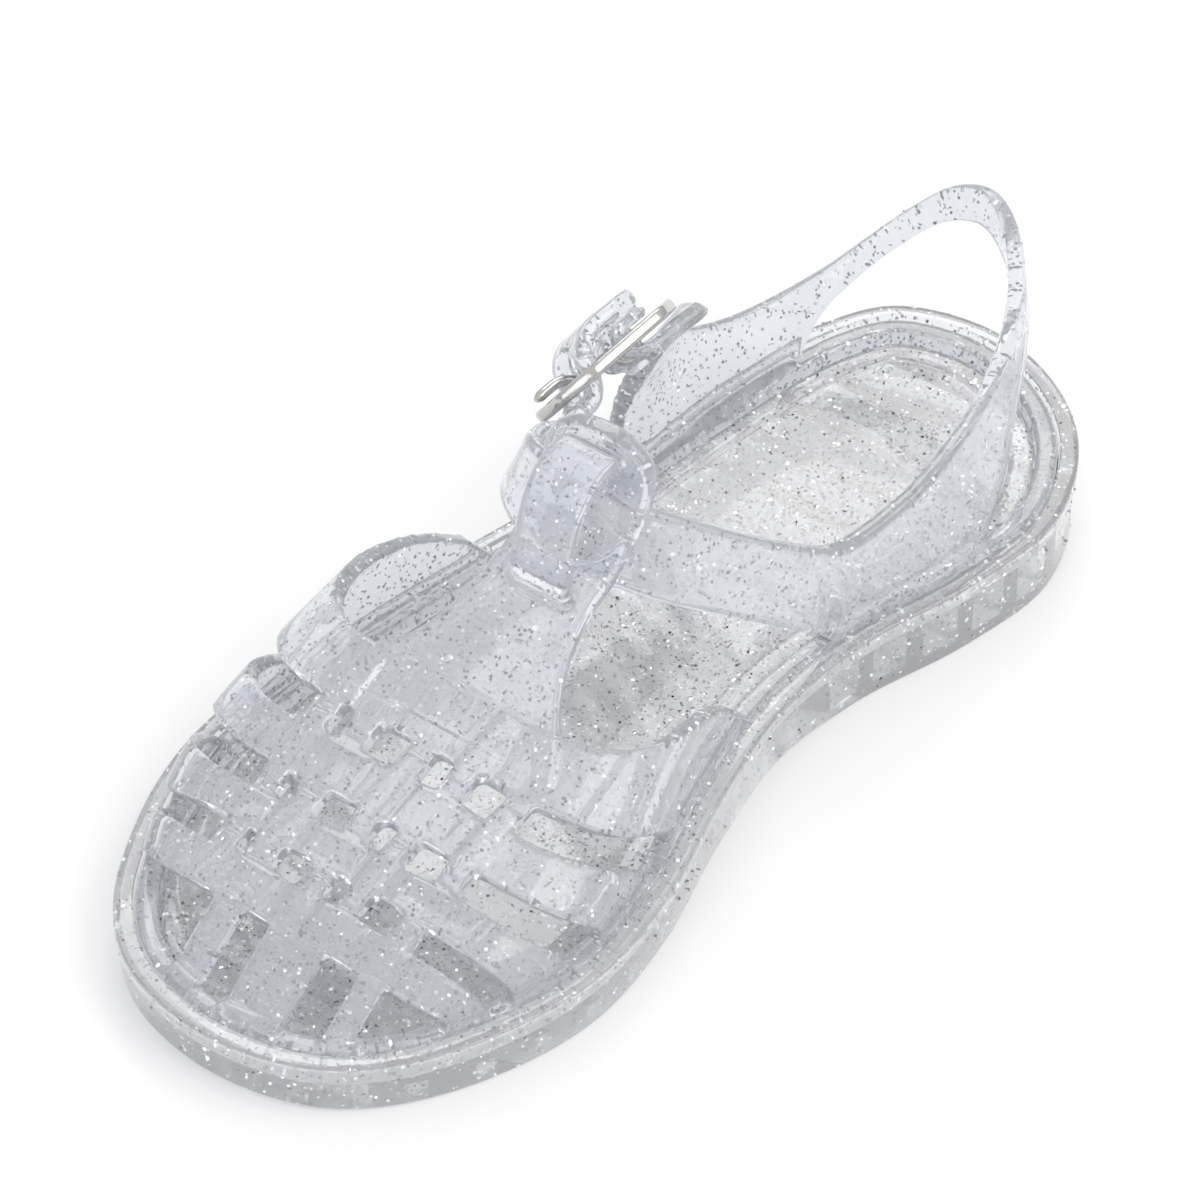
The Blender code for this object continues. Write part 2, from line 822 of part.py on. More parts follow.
def build_prong_slot(number, along, out, width):
    # Cutter for a hole that the prong goes through
    points = []
    for at in along:
        for up in (-width / 2, width / 2):
            for depth in out:
                points.append(place(*in_buckle(at, up, depth)))
    faces = [(0, 1, 3, 2), (4, 6, 7, 5), (0, 4, 5, 1), (2, 3, 7, 6), (0, 2, 6, 4), (1, 5, 7, 3)]
    return solid(f"prong_slot_{number}", points, faces)


def build_upper():
    upper = build_base_ring()
    upper.name = upper.data.name = "upper"
    upper.data.materials.append(material("clear_upper"))
    combine(upper, build_weave(), "UNION")
    for number, rib in enumerate(TOE_RIBS):
        if rib == TOE_PANEL[1]:
            continue
        inner_rib = TOE_PANEL[1] if rib == TOE_PANEL[0] else rib
        outer, inner = RIBS[rib][2], RIBS[inner_rib][3]
        combine(upper, build_toe_rib(f"toe_rib_{number + 1}", outer, inner), "UNION")
    combine(upper, build_t_bar(), "UNION")
    combine(upper, build_keeper(), "UNION")
    combine(upper, build_band(), "UNION")
    combine(upper, band("stub_fold", buckle_rows(FOLD), FOLD_STEPS, FOLD_WALL), "UNION")
    for number, (start, end, low, high, width) in enumerate(PRONG_SLOTS):
        cutter = build_prong_slot(number + 1, (start, end), (low, high), width)
        combine(upper, cutter, "DIFFERENCE")
    return upper


def build_buckle_frame(finish):
    # Chamfered rectangle with a hinge bar across it
    corners = []
    for grow in (0.0, -BUCKLE_BAR):
        long = BUCKLE_LENGTH / 2 + grow
        tall = BUCKLE_HEIGHT / 2 + grow
        cut = BUCKLE_CHAMFER + grow * INNER_CHAMFER_SHARE
        corners.append([
            (long, tall - cut), (long - cut, tall), (cut - long, tall), (-long, tall - cut),
            (-long, cut - tall), (cut - long, -tall), (long - cut, -tall), (long, cut - tall),
        ])
    outer, inner = corners
    half = BUCKLE_DEPTH / 2
    loops = []
    for edge, grow, depth in (
        (outer, -BUCKLE_BEVEL, half),
        (outer, 0.0, half - BUCKLE_BEVEL),
        (outer, 0.0, BUCKLE_BEVEL - half),
        (outer, -BUCKLE_BEVEL, -half),
        (inner, 0.0, -half),
        (inner, 0.0, half),
    ):
        loop = []
        for along, up in edge:
            length = math.hypot(along, up)
            scale = (length + grow) / length
            loop.append(in_buckle(along * scale, up * scale, depth))
        loops.append(loop)
    frame = loft("buckle_frame", loops, finish, capped=False)
    tall = (BUCKLE_HEIGHT - BUCKLE_BAR) / 2
    bar = rod("hinge_bar", [(HINGE_BAR_AT, -tall, 0.0), (HINGE_BAR_AT, tall, 0.0)], HINGE_BAR_RADIUS)
    combine(frame, bar, "UNION")
    return frame


def rod(name, path, radius, finish=None, sides=ROD_SIDES):
    # Round rod along a path in the buckle's frame
    points = [in_buckle(*p) for p in path]
    up = buckle_axes()[2]
    made = []
    for i, point in enumerate(points):
        along = (points[min(i + 1, len(points) - 1)] - points[max(i - 1, 0)]).normalized()
        side = up if abs(along.dot(up)) < 0.9 else buckle_axes()[3]
        first = along.cross(side).normalized()
        second = along.cross(first)
        for k in range(sides):
            turn = 2 * math.pi * k / sides
            made.append(place(*(point + (first * math.cos(turn) + second * math.sin(turn)) * radius)))
    faces = [tuple(range(sides)), tuple(range(len(made) - sides, len(made)))]
    for i in range(len(points) - 1):
        for a in range(sides):
            b = (a + 1) % sides
            faces.append((i * sides + a, i * sides + b, (i + 1) * sides + b, (i + 1) * sides + a))
    return solid(name, made, faces, finish)


def build_prong(finish):
    # The prong hooks round the hinge bar and lies on the front bar of the frame
    radius = HINGE_BAR_RADIUS + GAP + PRONG_RADIUS
    under, over, count = PRONG_CURL
    path = []
    for k in range(count):
        turn = math.radians(over + (under - over) * k / (count - 1))
        path.append((HINGE_BAR_AT + radius * math.cos(turn), 0.0, -radius * math.sin(turn)))
    path += [(along, 0.0, out) for along, out in PRONG]
    return rod("buckle_prong", path, PRONG_RADIUS, finish)


nickel = material("bright_nickel")
build_sole()
build_footbed()
build_upper()
build_buckle_frame(nickel)
build_prong(nickel)
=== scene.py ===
import math

import bmesh
import bpy
import numpy as np
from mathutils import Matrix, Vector


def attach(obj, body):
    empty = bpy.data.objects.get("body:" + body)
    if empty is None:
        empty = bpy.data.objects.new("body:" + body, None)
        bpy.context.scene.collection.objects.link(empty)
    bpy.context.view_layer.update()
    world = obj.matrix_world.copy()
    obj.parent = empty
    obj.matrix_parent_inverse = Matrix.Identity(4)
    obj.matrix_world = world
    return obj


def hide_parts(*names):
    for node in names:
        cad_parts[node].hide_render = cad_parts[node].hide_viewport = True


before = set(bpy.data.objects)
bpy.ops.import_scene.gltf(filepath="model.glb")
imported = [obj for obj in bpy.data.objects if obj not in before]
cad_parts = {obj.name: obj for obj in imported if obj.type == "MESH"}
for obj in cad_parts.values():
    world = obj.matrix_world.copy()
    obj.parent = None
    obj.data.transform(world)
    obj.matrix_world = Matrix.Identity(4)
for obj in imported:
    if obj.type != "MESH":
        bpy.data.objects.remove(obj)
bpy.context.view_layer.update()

mm = 0.001
gap = 0.3                        # left between two pieces


# Curves and meshes

def spline(rows, steps, closed=False):
    # centripetal curve through rows of any number of values
    rows = [Vector(row) for row in rows]
    count = len(rows)
    made = []
    for i in range(count if closed else count - 1):
        here = rows[i]
        after = rows[(i + 1) % count]
        before = rows[i - 1] if closed or i else here * 2 - after
        beyond = rows[(i + 2) % count] if closed or i + 2 < count else after * 2 - here
        t1 = math.sqrt((here - before).length)
        t2 = t1 + math.sqrt((after - here).length)
        t3 = t2 + math.sqrt((beyond - after).length)
        for step in range(steps):
            t = t1 + (t2 - t1) * step / steps
            a1 = before.lerp(here, t / t1)
            a2 = here.lerp(after, (t - t1) / (t2 - t1))
            a3 = after.lerp(beyond, (t - t2) / (t3 - t2))
            b1 = a1.lerp(a2, t / t2)
            b2 = a2.lerp(a3, (t - t1) / (t3 - t1))
            made.append(b1.lerp(b2, (t - t1) / (t2 - t1)))
    if not closed:
        made.append(rows[-1])
    return made


def valueAt(rows, station):
    # linear reading of (station, value) rows
    for (s0, v0), (s1, v1) in zip(rows, rows[1:]):
        if station <= s1:
            return v0 + (v1 - v0) * (station - s0) / (s1 - s0)
    return rows[-1][1]


def makeMesh(name, points, faces):
    # a closed mesh whose faces look outwards
    mesh = bpy.data.meshes.new(name)
    mesh.from_pydata(points, [], faces)
    shape = bmesh.new()
    shape.from_mesh(mesh)
    bmesh.ops.recalc_face_normals(shape, faces=shape.faces)
    if shape.calc_volume(signed=True) < 0:
        bmesh.ops.reverse_faces(shape, faces=shape.faces)
    shape.to_mesh(mesh)
    shape.free()
    made = bpy.data.objects.new(name, mesh)
    bpy.context.scene.collection.objects.link(made)
    return made


def applied(piece):
    # swaps the piece's mesh for the one that its modifiers give
    bpy.context.view_layer.update()
    graph = bpy.context.evaluated_depsgraph_get()
    mesh = bpy.data.meshes.new_from_object(piece.evaluated_get(graph))
    piece.modifiers.clear()
    old = piece.data
    piece.data = mesh
    bpy.data.meshes.remove(old)
    mesh.name = piece.name
    return piece


def joined(name, parts):
    # several closed meshes in one object
    points, faces = [], []
    for part in parts:
        first = len(points)
        points += [v.co.copy() for v in part.data.vertices]
        faces += [[first + i for i in p.vertices] for p in part.data.polygons]
        bpy.data.objects.remove(part, do_unlink=True)
    mesh = bpy.data.meshes.new(name)
    mesh.from_pydata(points, [], faces)
    made = bpy.data.objects.new(name, mesh)
    bpy.context.scene.collection.objects.link(made)
    return made


def cutWith(piece, cutter):
    change = piece.modifiers.new("cut", "BOOLEAN")
    change.operation = "DIFFERENCE"
    change.solver = "EXACT"
    change.object = cutter
    applied(piece)
    bpy.data.objects.remove(cutter, do_unlink=True)
    return piece


def smoothEdges(piece, degrees):
    # smooth shading that stays crisp at edges sharper than this
    piece.data.shade_smooth()
    piece.data.set_sharp_from_angle(angle=math.radians(degrees))
    return piece


# The shoe's own shape. Across is positive towards the inner side, a station is counted from the heel

shoe = {
    "length": 162.5,
    "middleAcross": -0.512,
    "rimAtHeel": 13.0,
    "rimAtToe": 7.6,
    "toeSpring": 0.5,
    "toeSpringFrom": 138.0,
    "archRise": 0.7,
    "arch": (60.0, 88.0),
    "outlineSteps": 10,
    "crownSteps": 8,
    # station, outer edge, inner edge
    "plan": (
        (0.0, 4.5, 4.5), (3.5, -8.4, 17.0), (12.0, -14.3, 27.0), (26.0, -18.3, 32.7), (42.0, -20.8, 30.8),
        (60.0, -23.3, 25.5), (76.0, -27.1, 24.2), (92.0, -30.6, 26.9), (110.0, -33.7, 31.7),
        (126.0, -33.7, 33.0), (140.0, -29.8, 29.4), (152.5, -22.8, 22.2), (159.6, -13.8, 13.6),
        (162.5, 0.0, 0.0),
    ),
    # station, height of the crown line
    "crown": (
        (84.0, 46.0), (95.0, 38.0), (107.0, 31.0), (115.0, 27.5), (125.0, 24.0), (135.0, 20.5),
        (146.0, 16.2), (152.6, 12.4), (158.8, 7.8),
    ),
}


def place(across, station, height):
    return Vector(((across - shoe["middleAcross"]) * mm, (shoe["length"] / 2 - station) * mm, height * mm))


def toeLift(station):
    share = max(0.0, station - shoe["toeSpringFrom"]) / (shoe["length"] - shoe["toeSpringFrom"])
    return shoe["toeSpring"] * share ** 2


def rim(station):
    share = station / shoe["length"]
    return shoe["rimAtHeel"] + (shoe["rimAtToe"] - shoe["rimAtHeel"]) * share + toeLift(station)


def underside(station):
    start, end = shoe["arch"]
    share = min(max((station - start) / (end - start), 0.0), 1.0)
    return toeLift(station) + shoe["archRise"] * math.sin(math.pi * share) ** 2


def soleOutline():
    inner = [(row[2], row[0]) for row in shoe["plan"]]
    outer = [(row[1], row[0]) for row in shoe["plan"][-2:0:-1]]
    return spline(inner + outer, shoe["outlineSteps"], closed=True)


def inset(outline, distance):
    made = []
    for i, point in enumerate(outline):
        along = (outline[(i + 1) % len(outline)] - outline[i - 1]).normalized()
        made.append(point + Vector((-along.y, along.x)) * distance)
    return made


def sidesAt(outline, station):
    found = []
    for a, b in zip(outline, outline[1:] + outline[:1]):
        if (a.y - station) * (b.y - station) <= 0 and a.y != b.y:
            found.append(a.x + (b.x - a.x) * (station - a.y) / (b.y - a.y))
    return min(found), max(found)


def belowRim(drop):
    return lambda station: rim(station) - drop


def aboveBase(lift):
    return lambda station: underside(station) + lift


def loop(distance, height):
    return [(p.x, p.y, height(p.y)) for p in inset(outline, distance)]


def loft(name, loops, capped=True):
    size = len(loops[0])
    points = [place(*p) for line in loops for p in line]
    pairs = list(zip(range(len(loops)), range(1, len(loops))))
    if not capped:
        pairs.append((len(loops) - 1, 0))
    faces = []
    for a, b in pairs:
        for i in range(size):
            j = (i + 1) % size
            faces.append((a * size + i, a * size + j, b * size + j, b * size + i))
    if capped:
        for start in (0, (len(loops) - 1) * size):
            for i in range(size // 2):
                corners = (i, i + 1, (size - i - 1) % size, (size - i) % size)
                faces.append([start + c for c in dict.fromkeys(corners)])
    return makeMesh(name, points, faces)


outline = soleOutline()
crownLine = [tuple(p) for p in spline(shoe["crown"], shoe["crownSteps"])]
print("stage: outline of the shoe")


# Sole: raised rim, bead, plain side, heel pockets with ribs between them, tread grooves

sole = {
    "ledge": 2.2,
    "ledgeRound": 0.3,
    "ledgeSteps": 2,
    "trayDepth": 4.2,
    "beadOut": 0.4,
    "beadTall": 2.4,
    "beadRound": 0.5,
    # in from the bead's face, down from its foot
    "beadUnder": ((0.0, -0.25), (0.12, 0.0), (0.35, 0.25), (0.42, 0.6)),
    "sideSlant": 0.2,
    "baseRound": 0.5,
    "pocketWall": 5.0,
    "pocketDepth": 6.2,
    "pocketRib": 2.6,
    "pockets": (9.0, 62.0, 7),
    "grooveDepth": 1.4,
    "grooveWide": 2.2,
    "grooves": (92.0, 146.0, 8),
    "cutterBelow": -1.0,
    "roundSteps": 3,
    "slabSteps": 6,
    "crispAbove": 38,            # degrees
}


def rounded(cornerIn, cornerDown, radius, steps):
    # quarter circle as (inset, drop) from the top of a corner round to its side
    made = []
    for i in range(steps + 1):
        turn = math.pi / 2 * i / steps
        made.append((
            cornerIn + radius - radius * math.sin(turn),
            cornerDown + radius - radius * math.cos(turn),
        ))
    return made


def slab(edges, low, high, first, last):
    # block between two stations of an outline, its sides following the outline
    inner, outer = [], []
    steps = sole["slabSteps"]
    for step in range(steps + 1):
        station = first + (last - first) * step / steps
        left, right = sidesAt(edges, station)
        outer.append((left, station))
        inner.append((right, station))
    edge = outer + inner[::-1]
    points = [place(*p, low) for p in edge] + [place(*p, high) for p in edge]
    count = len(edge)
    faces = [tuple(range(count)), tuple(range(count, 2 * count))]
    for i in range(count):
        j = (i + 1) % count
        faces.append((i, j, count + j, count + i))
    return makeMesh("cutter", points, faces)


def makeSole():
    soft = sole["ledgeRound"]
    loops = [loop(sole["ledge"] + soft, belowRim(sole["trayDepth"]))]
    loops.append(loop(sole["ledge"], belowRim(sole["trayDepth"] - soft)))
    for distance, drop in rounded(0.0, 0.0, soft, sole["ledgeSteps"])[::-1]:
        loops.append(loop(sole["ledge"] - distance, belowRim(drop)))
    for distance, drop in rounded(-sole["beadOut"], 0.0, sole["beadRound"], sole["roundSteps"]):
        loops.append(loop(distance, belowRim(drop)))
    for inwards, down in sole["beadUnder"]:
        loops.append(loop(inwards - sole["beadOut"], belowRim(sole["beadTall"] + down)))
    radius = sole["baseRound"]
    for i in range(sole["roundSteps"] + 1):
        turn = math.pi / 2 * i / sole["roundSteps"]
        distance = sole["sideSlant"] + radius - radius * math.cos(turn)
        loops.append(loop(distance, aboveBase(radius - radius * math.sin(turn))))
    made = loft("sole", loops)
    edges = inset(outline, sole["pocketWall"])
    cutters = []
    start, end, count = sole["pockets"]
    pitch = (end - start + sole["pocketRib"]) / count
    for i in range(count):
        first = start + i * pitch
        last = first + pitch - sole["pocketRib"]
        cutters.append(slab(edges, sole["cutterBelow"], sole["pocketDepth"], first, last))
    start, end, count = sole["grooves"]
    pitch = (end - start) / (count - 1)
    for i in range(count):
        first = start + i * pitch
        depth = sole["grooveDepth"] + toeLift(first)
        cutters.append(slab(edges, sole["cutterBelow"], depth, first, first + sole["grooveWide"]))
    cutWith(made, joined("cutters", cutters))
    return smoothEdges(made, sole["crispAbove"])


# Footbed: thin plate inside the ring, with a bordered, slightly sunk middle

footbed = {
    "drop": 1.5,
    "edgeRound": 0.7,
    "footRound": 0.3,
    "border": 2.6,
    "stepIn": 0.8,
    "stepDown": 0.5,
    "edgeSteps": 4,
    "stepSteps": 5,
    "crispAbove": 40,            # degrees
}
ringOut = sole["ledge"] + gap
ringWidth = 2.8
ringIn = ringOut + ringWidth


def makeFootbed():
    edge = ringIn + gap
    border = edge + footbed["border"]
    drop = footbed["drop"]
    floor = sole["trayDepth"] - gap
    soft = footbed["footRound"]
    loops = [loop(edge + soft, belowRim(floor)), loop(edge, belowRim(floor - soft))]
    for distance, down in rounded(edge, drop, footbed["edgeRound"], footbed["edgeSteps"])[::-1]:
        loops.append(loop(distance, belowRim(down)))
    steps = footbed["stepSteps"]
    for i in range(steps + 1):
        share = i / steps
        eased = share * share * (3 - 2 * share)
        loops.append(loop(border + footbed["stepIn"] * share, belowRim(drop + footbed["stepDown"] * eased)))
    return smoothEdges(loft("footbed", loops), footbed["crispAbove"])


# Upper: one moulding of base ring, woven vamp, toe ribs, T-bar, keeper and the buckled band

upper = {
    "wall": 2.2,
    "strapWall": 2.4,
    "raised": 0.8,
    "crownOfStrip": 0.45,
    "flatOfStrip": 2.5,          # the higher, the flatter its face
    "edgeRound": 0.85,
    "edgeShare": 0.45,           # of a strap's thickness, the most that its rounding takes
    "edgeTurns": 4,
    "strapSteps": 8,
    "foldSteps": 5,
    "rootDepth": 2.2,
    "ringRound": 0.4,
    "ringSteps": 3,
    "footRound": 0.2,
    "footSteps": 8,
    "footRise": 0.6,             # how far a strap's foot reaches up into the weave
    "toeRibRound": 0.5,
    "toeRibSteps": 8,
    "toeRibFineSteps": 3,
    "toeRibSink": 0.7,           # share of the wall that a toe rib lies under the weave's face
    "wallFootIn": 0.2,
    "vampRoundness": 2.8,
    "vampBulge": 0.8,
    "strapSweep": 2.7,
    "cellRows": 6,
    "cellColumns": 4,
    "grain": 0.43,
    "softenTimes": 2,
    "softenBy": 0.5,
    "keptFaces": 0.64,           # share of the moulding's faces kept, to hold it under 200,000
    # outer back, outer front, crown back, crown front, inner back, inner front
    "crossStraps": (
        (74.5, 96.7, 112.0, 120.5, 80.0, 103.0),
        (104.4, 115.4, 124.7, 131.0, 109.4, 121.4),
        (122.4, 133.6, 134.9, 139.5, 127.5, 136.2),
        (136.6, 143.5, 143.0, 148.3, 139.8, 144.6),
    ),
    # back outer edge, back inner edge, toe outer edge, toe inner edge
    "ribs": (
        (-15.2, -11.4, -14.6, -11.2),
        (-8.9, -5.0, -10.0, -5.6),
        (0.2, 4.0, -1.2, 2.2),
        (7.5, 11.2, 4.4, 7.4),
        (15.4, 19.0, 12.6, 16.0),
    ),
    "ribStations": (112.0, 150.0),
    "toeRibs": ((1, 1), (2, 3), (4, 4)),
    # upper across, station, height, lower across, station, height
    "band": (
        (-12.8, 45.2, 39.0, -17.8, 50.6, 29.0),
        (-17.4, 42.4, 33.2, -19.8, 52.6, 18.6),
        (-20.2, 39.6, 28.2, -17.8, 50.6, 8.6),
        (-20.4, 36.4, 25.2, -16.6, 43.0, 9.2),
        (-19.2, 31.5, 23.4, -14.9, 35.5, 9.6),
        (-17.8, 26.0, 22.4, -13.7, 28.5, 9.9),
        (-15.9, 20.6, 22.8, -12.4, 22.6, 12.4),
        (-12.6, 15.0, 25.4, -11.4, 17.4, 19.2),
        (-8.6, 10.4, 29.9, -8.2, 12.4, 24.8),
        (-4.4, 6.8, 34.6, -4.2, 8.4, 29.6),
        (0.6, 4.2, 39.0, 0.6, 5.6, 33.8),
        (6.2, 4.2, 41.0, 6.2, 5.0, 35.6),
        (11.8, 7.2, 39.8, 12.0, 7.6, 34.4),
        (16.4, 12.6, 36.2, 16.8, 11.4, 31.0),
        (19.6, 19.4, 33.4, 20.6, 17.0, 28.0),
        (22.0, 27.0, 31.4, 24.0, 24.0, 24.0),
        (23.6, 34.0, 30.6, 26.6, 31.0, 16.8),
        (24.6, 41.0, 30.0, 27.2, 38.6, 8.8),
        (25.0, 48.0, 29.2, 25.6, 45.6, 8.6),
        (24.4, 55.0, 28.6, 23.2, 52.4, 8.4),
        (23.6, 61.6, 28.8, 21.2, 59.0, 8.8),
        (22.4, 66.8, 31.4, 22.6, 66.0, 15.8),
        (20.2, 71.6, 34.6, 21.0, 73.0, 21.6),
        (16.8, 77.4, 38.8, 18.2, 80.2, 27.0),
        (12.6, 82.8, 43.0, 13.8, 86.4, 31.4),
        (7.8, 86.8, 46.0, 8.6, 90.6, 34.6),
        (2.0, 88.6, 47.6, 2.4, 92.4, 36.2),
        (-4.0, 87.4, 47.6, -4.2, 91.4, 36.4),
        (-8.4, 84.2, 46.0, -10.8, 87.2, 35.4),
        (-10.2, 79.6, 43.6, -15.0, 80.8, 33.4),
    ),
    # outer across, inner across, station, height
    "tBar": (
        (-17.0, 19.0, 116.5, 25.2),
        (-12.8, 16.4, 112.0, 27.6),
        (-8.8, 13.6, 108.0, 30.2),
        (-6.0, 11.8, 103.6, 33.6),
        (-5.0, 11.1, 98.6, 36.4),
        (-4.6, 11.2, 94.0, 39.0),
        (-4.2, 11.6, 90.2, 43.0),
        (-4.0, 12.4, 88.2, 47.6),
        (-3.8, 12.8, 87.6, 51.4),
        (-2.4, 12.0, 87.4, 54.4),
        (0.4, 9.6, 87.4, 56.4),
        (3.2, 6.8, 87.4, 57.2),
    ),
    # station, height of the band in front of the tab
    "keeper": ((89.4, 54.6), (93.6, 53.6), (96.6, 50.0), (98.4, 43.0), (98.8, 37.6), (97.6, 34.6)),
    "keeperAcross": (4.4, 3.2),
    "keeperWidth": 9.2,
    "keeperWall": 1.8,
    # along, out, width, in the buckle's frame
    "stub": ((3.6, -2.7, 10.0), (6.0, -2.7, 10.4), (9.0, -2.7, 10.6), (13.0, -2.9, 11.0)),
    "fold": (
        (6.6, -2.5, 10.0), (3.4, -1.95, 10.0), (2.0, -1.35, 10.0), (1.45, 0.0, 10.0), (2.0, 1.35, 10.0),
        (3.4, 1.95, 10.0), (5.4, 1.9, 9.6), (7.0, 1.8, 9.0),
    ),
    "foldWall": 1.4,
    "strapEnd": (
        (-13.2, -2.9, 11.2), (-10.2, -2.8, 10.4), (-7.6, -2.7, 10.0), (-6.0, -1.6, 9.8), (-4.8, 0.6, 9.8),
        (-3.6, 3.0, 10.2), (-1.4, 4.4, 10.4), (1.6, 4.5, 10.6), (5.2, 4.4, 9.6), (7.6, 4.3, 6.4),
        (8.8, 4.3, 2.6),
    ),
    # along from, along to, out from, out to, width
    "prongSlots": ((-8.5, -2.8, -3.4, 4.6, 3.0), (-0.4, 6.6, -4.6, 2.9, 2.5)),
}
wallFoot = inset(outline, ringOut + upper["wallFootIn"])
wallMiddle = inset(outline, ringOut + ringWidth / 2)
lastStation = max(p.y for p in wallFoot) - 0.05
vampPower = 2 / upper["vampRoundness"]


def vampShare(across, station):
    # -1 at the outer rim, 0 on the crown, 1 at the inner rim
    left, right = sidesAt(wallFoot, min(station, lastStation))
    reach = (across - (left + right) / 2) / ((right - left) / 2)
    reach = min(max(reach, -1.0), 1.0)
    return math.copysign(math.asin(abs(reach) ** (1 / vampPower)), reach) / (math.pi / 2)


def vampPoint(share, station):
    left, right = sidesAt(wallFoot, min(station, lastStation))
    turn = share * math.pi / 2
    reach = math.copysign(abs(math.sin(turn)) ** vampPower, turn)
    rise = abs(math.cos(turn)) ** vampPower
    base = rim(station)
    height = base + (valueAt(crownLine, station) - base) * rise
    lowSide = min(max(2 * abs(share) - 1, 0.0), 1.0)
    bulge = math.copysign(upper["vampBulge"] * math.sin(math.pi * lowSide) ** 2, share)
    return Vector(((left + right) / 2 + (right - left) / 2 * reach + bulge, station, height))


def vampNormal(share, station):
    near = 0.02
    low, high = max(share - near, -1.0), min(share + near, 1.0)
    across = vampPoint(high, station) - vampPoint(low, station)
    front = min(station + 0.4, lastStation)
    along = vampPoint(share, front) - vampPoint(share, front - 0.8)
    return across.cross(along).normalized()


def ribAcross(rib, edge, station):
    back, toe = upper["ribs"][rib][edge], upper["ribs"][rib][edge + 2]
    first, last = upper["ribStations"]
    return back + (toe - back) * (station - first) / (last - first)


def rowStation(row, share):
    side = row[2] if share > 0 else row[0]
    return row[1] - (row[1] - side) * abs(share) ** upper["strapSweep"]


def weaveRows():
    rows = []
    for outerBack, outerFront, crownBack, crownFront, innerBack, innerFront in upper["crossStraps"]:
        back = Vector((outerBack, crownBack, innerBack))
        front = Vector((outerFront, crownFront, innerFront))
        if rows:
            rows.append((rows[-1] + back) / 2)
        rows += [back, (back + front) / 2, front]
    return rows


def weaveColumns():
    side = (1.0, 0.75, 0.5, 0.25)
    last = len(upper["ribs"]) - 1
    columns = [("outer", s) for s in side]
    for rib in range(last + 1):
        columns += [("rib", rib, 0), ("rib", rib, 1)]
        if rib < last:
            columns.append(("between", rib))
    return columns + [("inner", s) for s in side[::-1]]


def columnShare(row, column):
    kind = column[0]
    last = len(upper["ribs"]) - 1
    share = 0.0
    for _ in range(4):
        station = rowStation(row, share)
        if kind == "rib":
            share = vampShare(ribAcross(column[1], column[2], station), station)
        elif kind == "between":
            middle = (ribAcross(column[1], 1, station) + ribAcross(column[1] + 1, 0, station)) / 2
            share = vampShare(middle, station)
        else:
            rib, edge, end = (0, 0, -1.0) if kind == "outer" else (last, 1, 1.0)
            fromRib = vampShare(ribAcross(rib, edge, row[1]), row[1])
            share = fromRib + (end - fromRib) * column[1]
    return share


def cellKind(cell, columns):
    here, after = columns[cell], columns[cell + 1]
    if here[0] == "rib" and after[0] == "rib":
        return "rib", here[1]
    if here[0] == "between":
        return "beside", after[1]
    if here[0] == "rib" and after[0] == "between":
        return "beside", here[1]
    if here[0] == "outer" and after[0] == "rib":
        return "beside", after[1]
    if here[0] == "rib" and after[0] == "inner":
        return "beside", here[1]
    return "side", None


def ribOnTop(rib, strap):
    return (rib + strap) % 2 == 1


def weaveLevel(row, cell, columns):
    # 0 hole, 1 plain wall, 2 a strip that lies on top. The second value says which way that strip runs
    kind, rib = cellKind(cell, columns)
    strap, part = divmod(row, 4)
    if kind == "rib":
        if part < 2:
            return 2, "lengthwise" if ribOnTop(rib, strap) else "crosswise"
        beside = strap if part == 2 else strap + 1
        return (2, "lengthwise") if ribOnTop(rib, beside) else (1, "lengthwise")
    if part >= 2:
        return 0, ""
    if kind == "beside" and not ribOnTop(rib, strap):
        return 2, "crosswise"
    return 1, "crosswise"


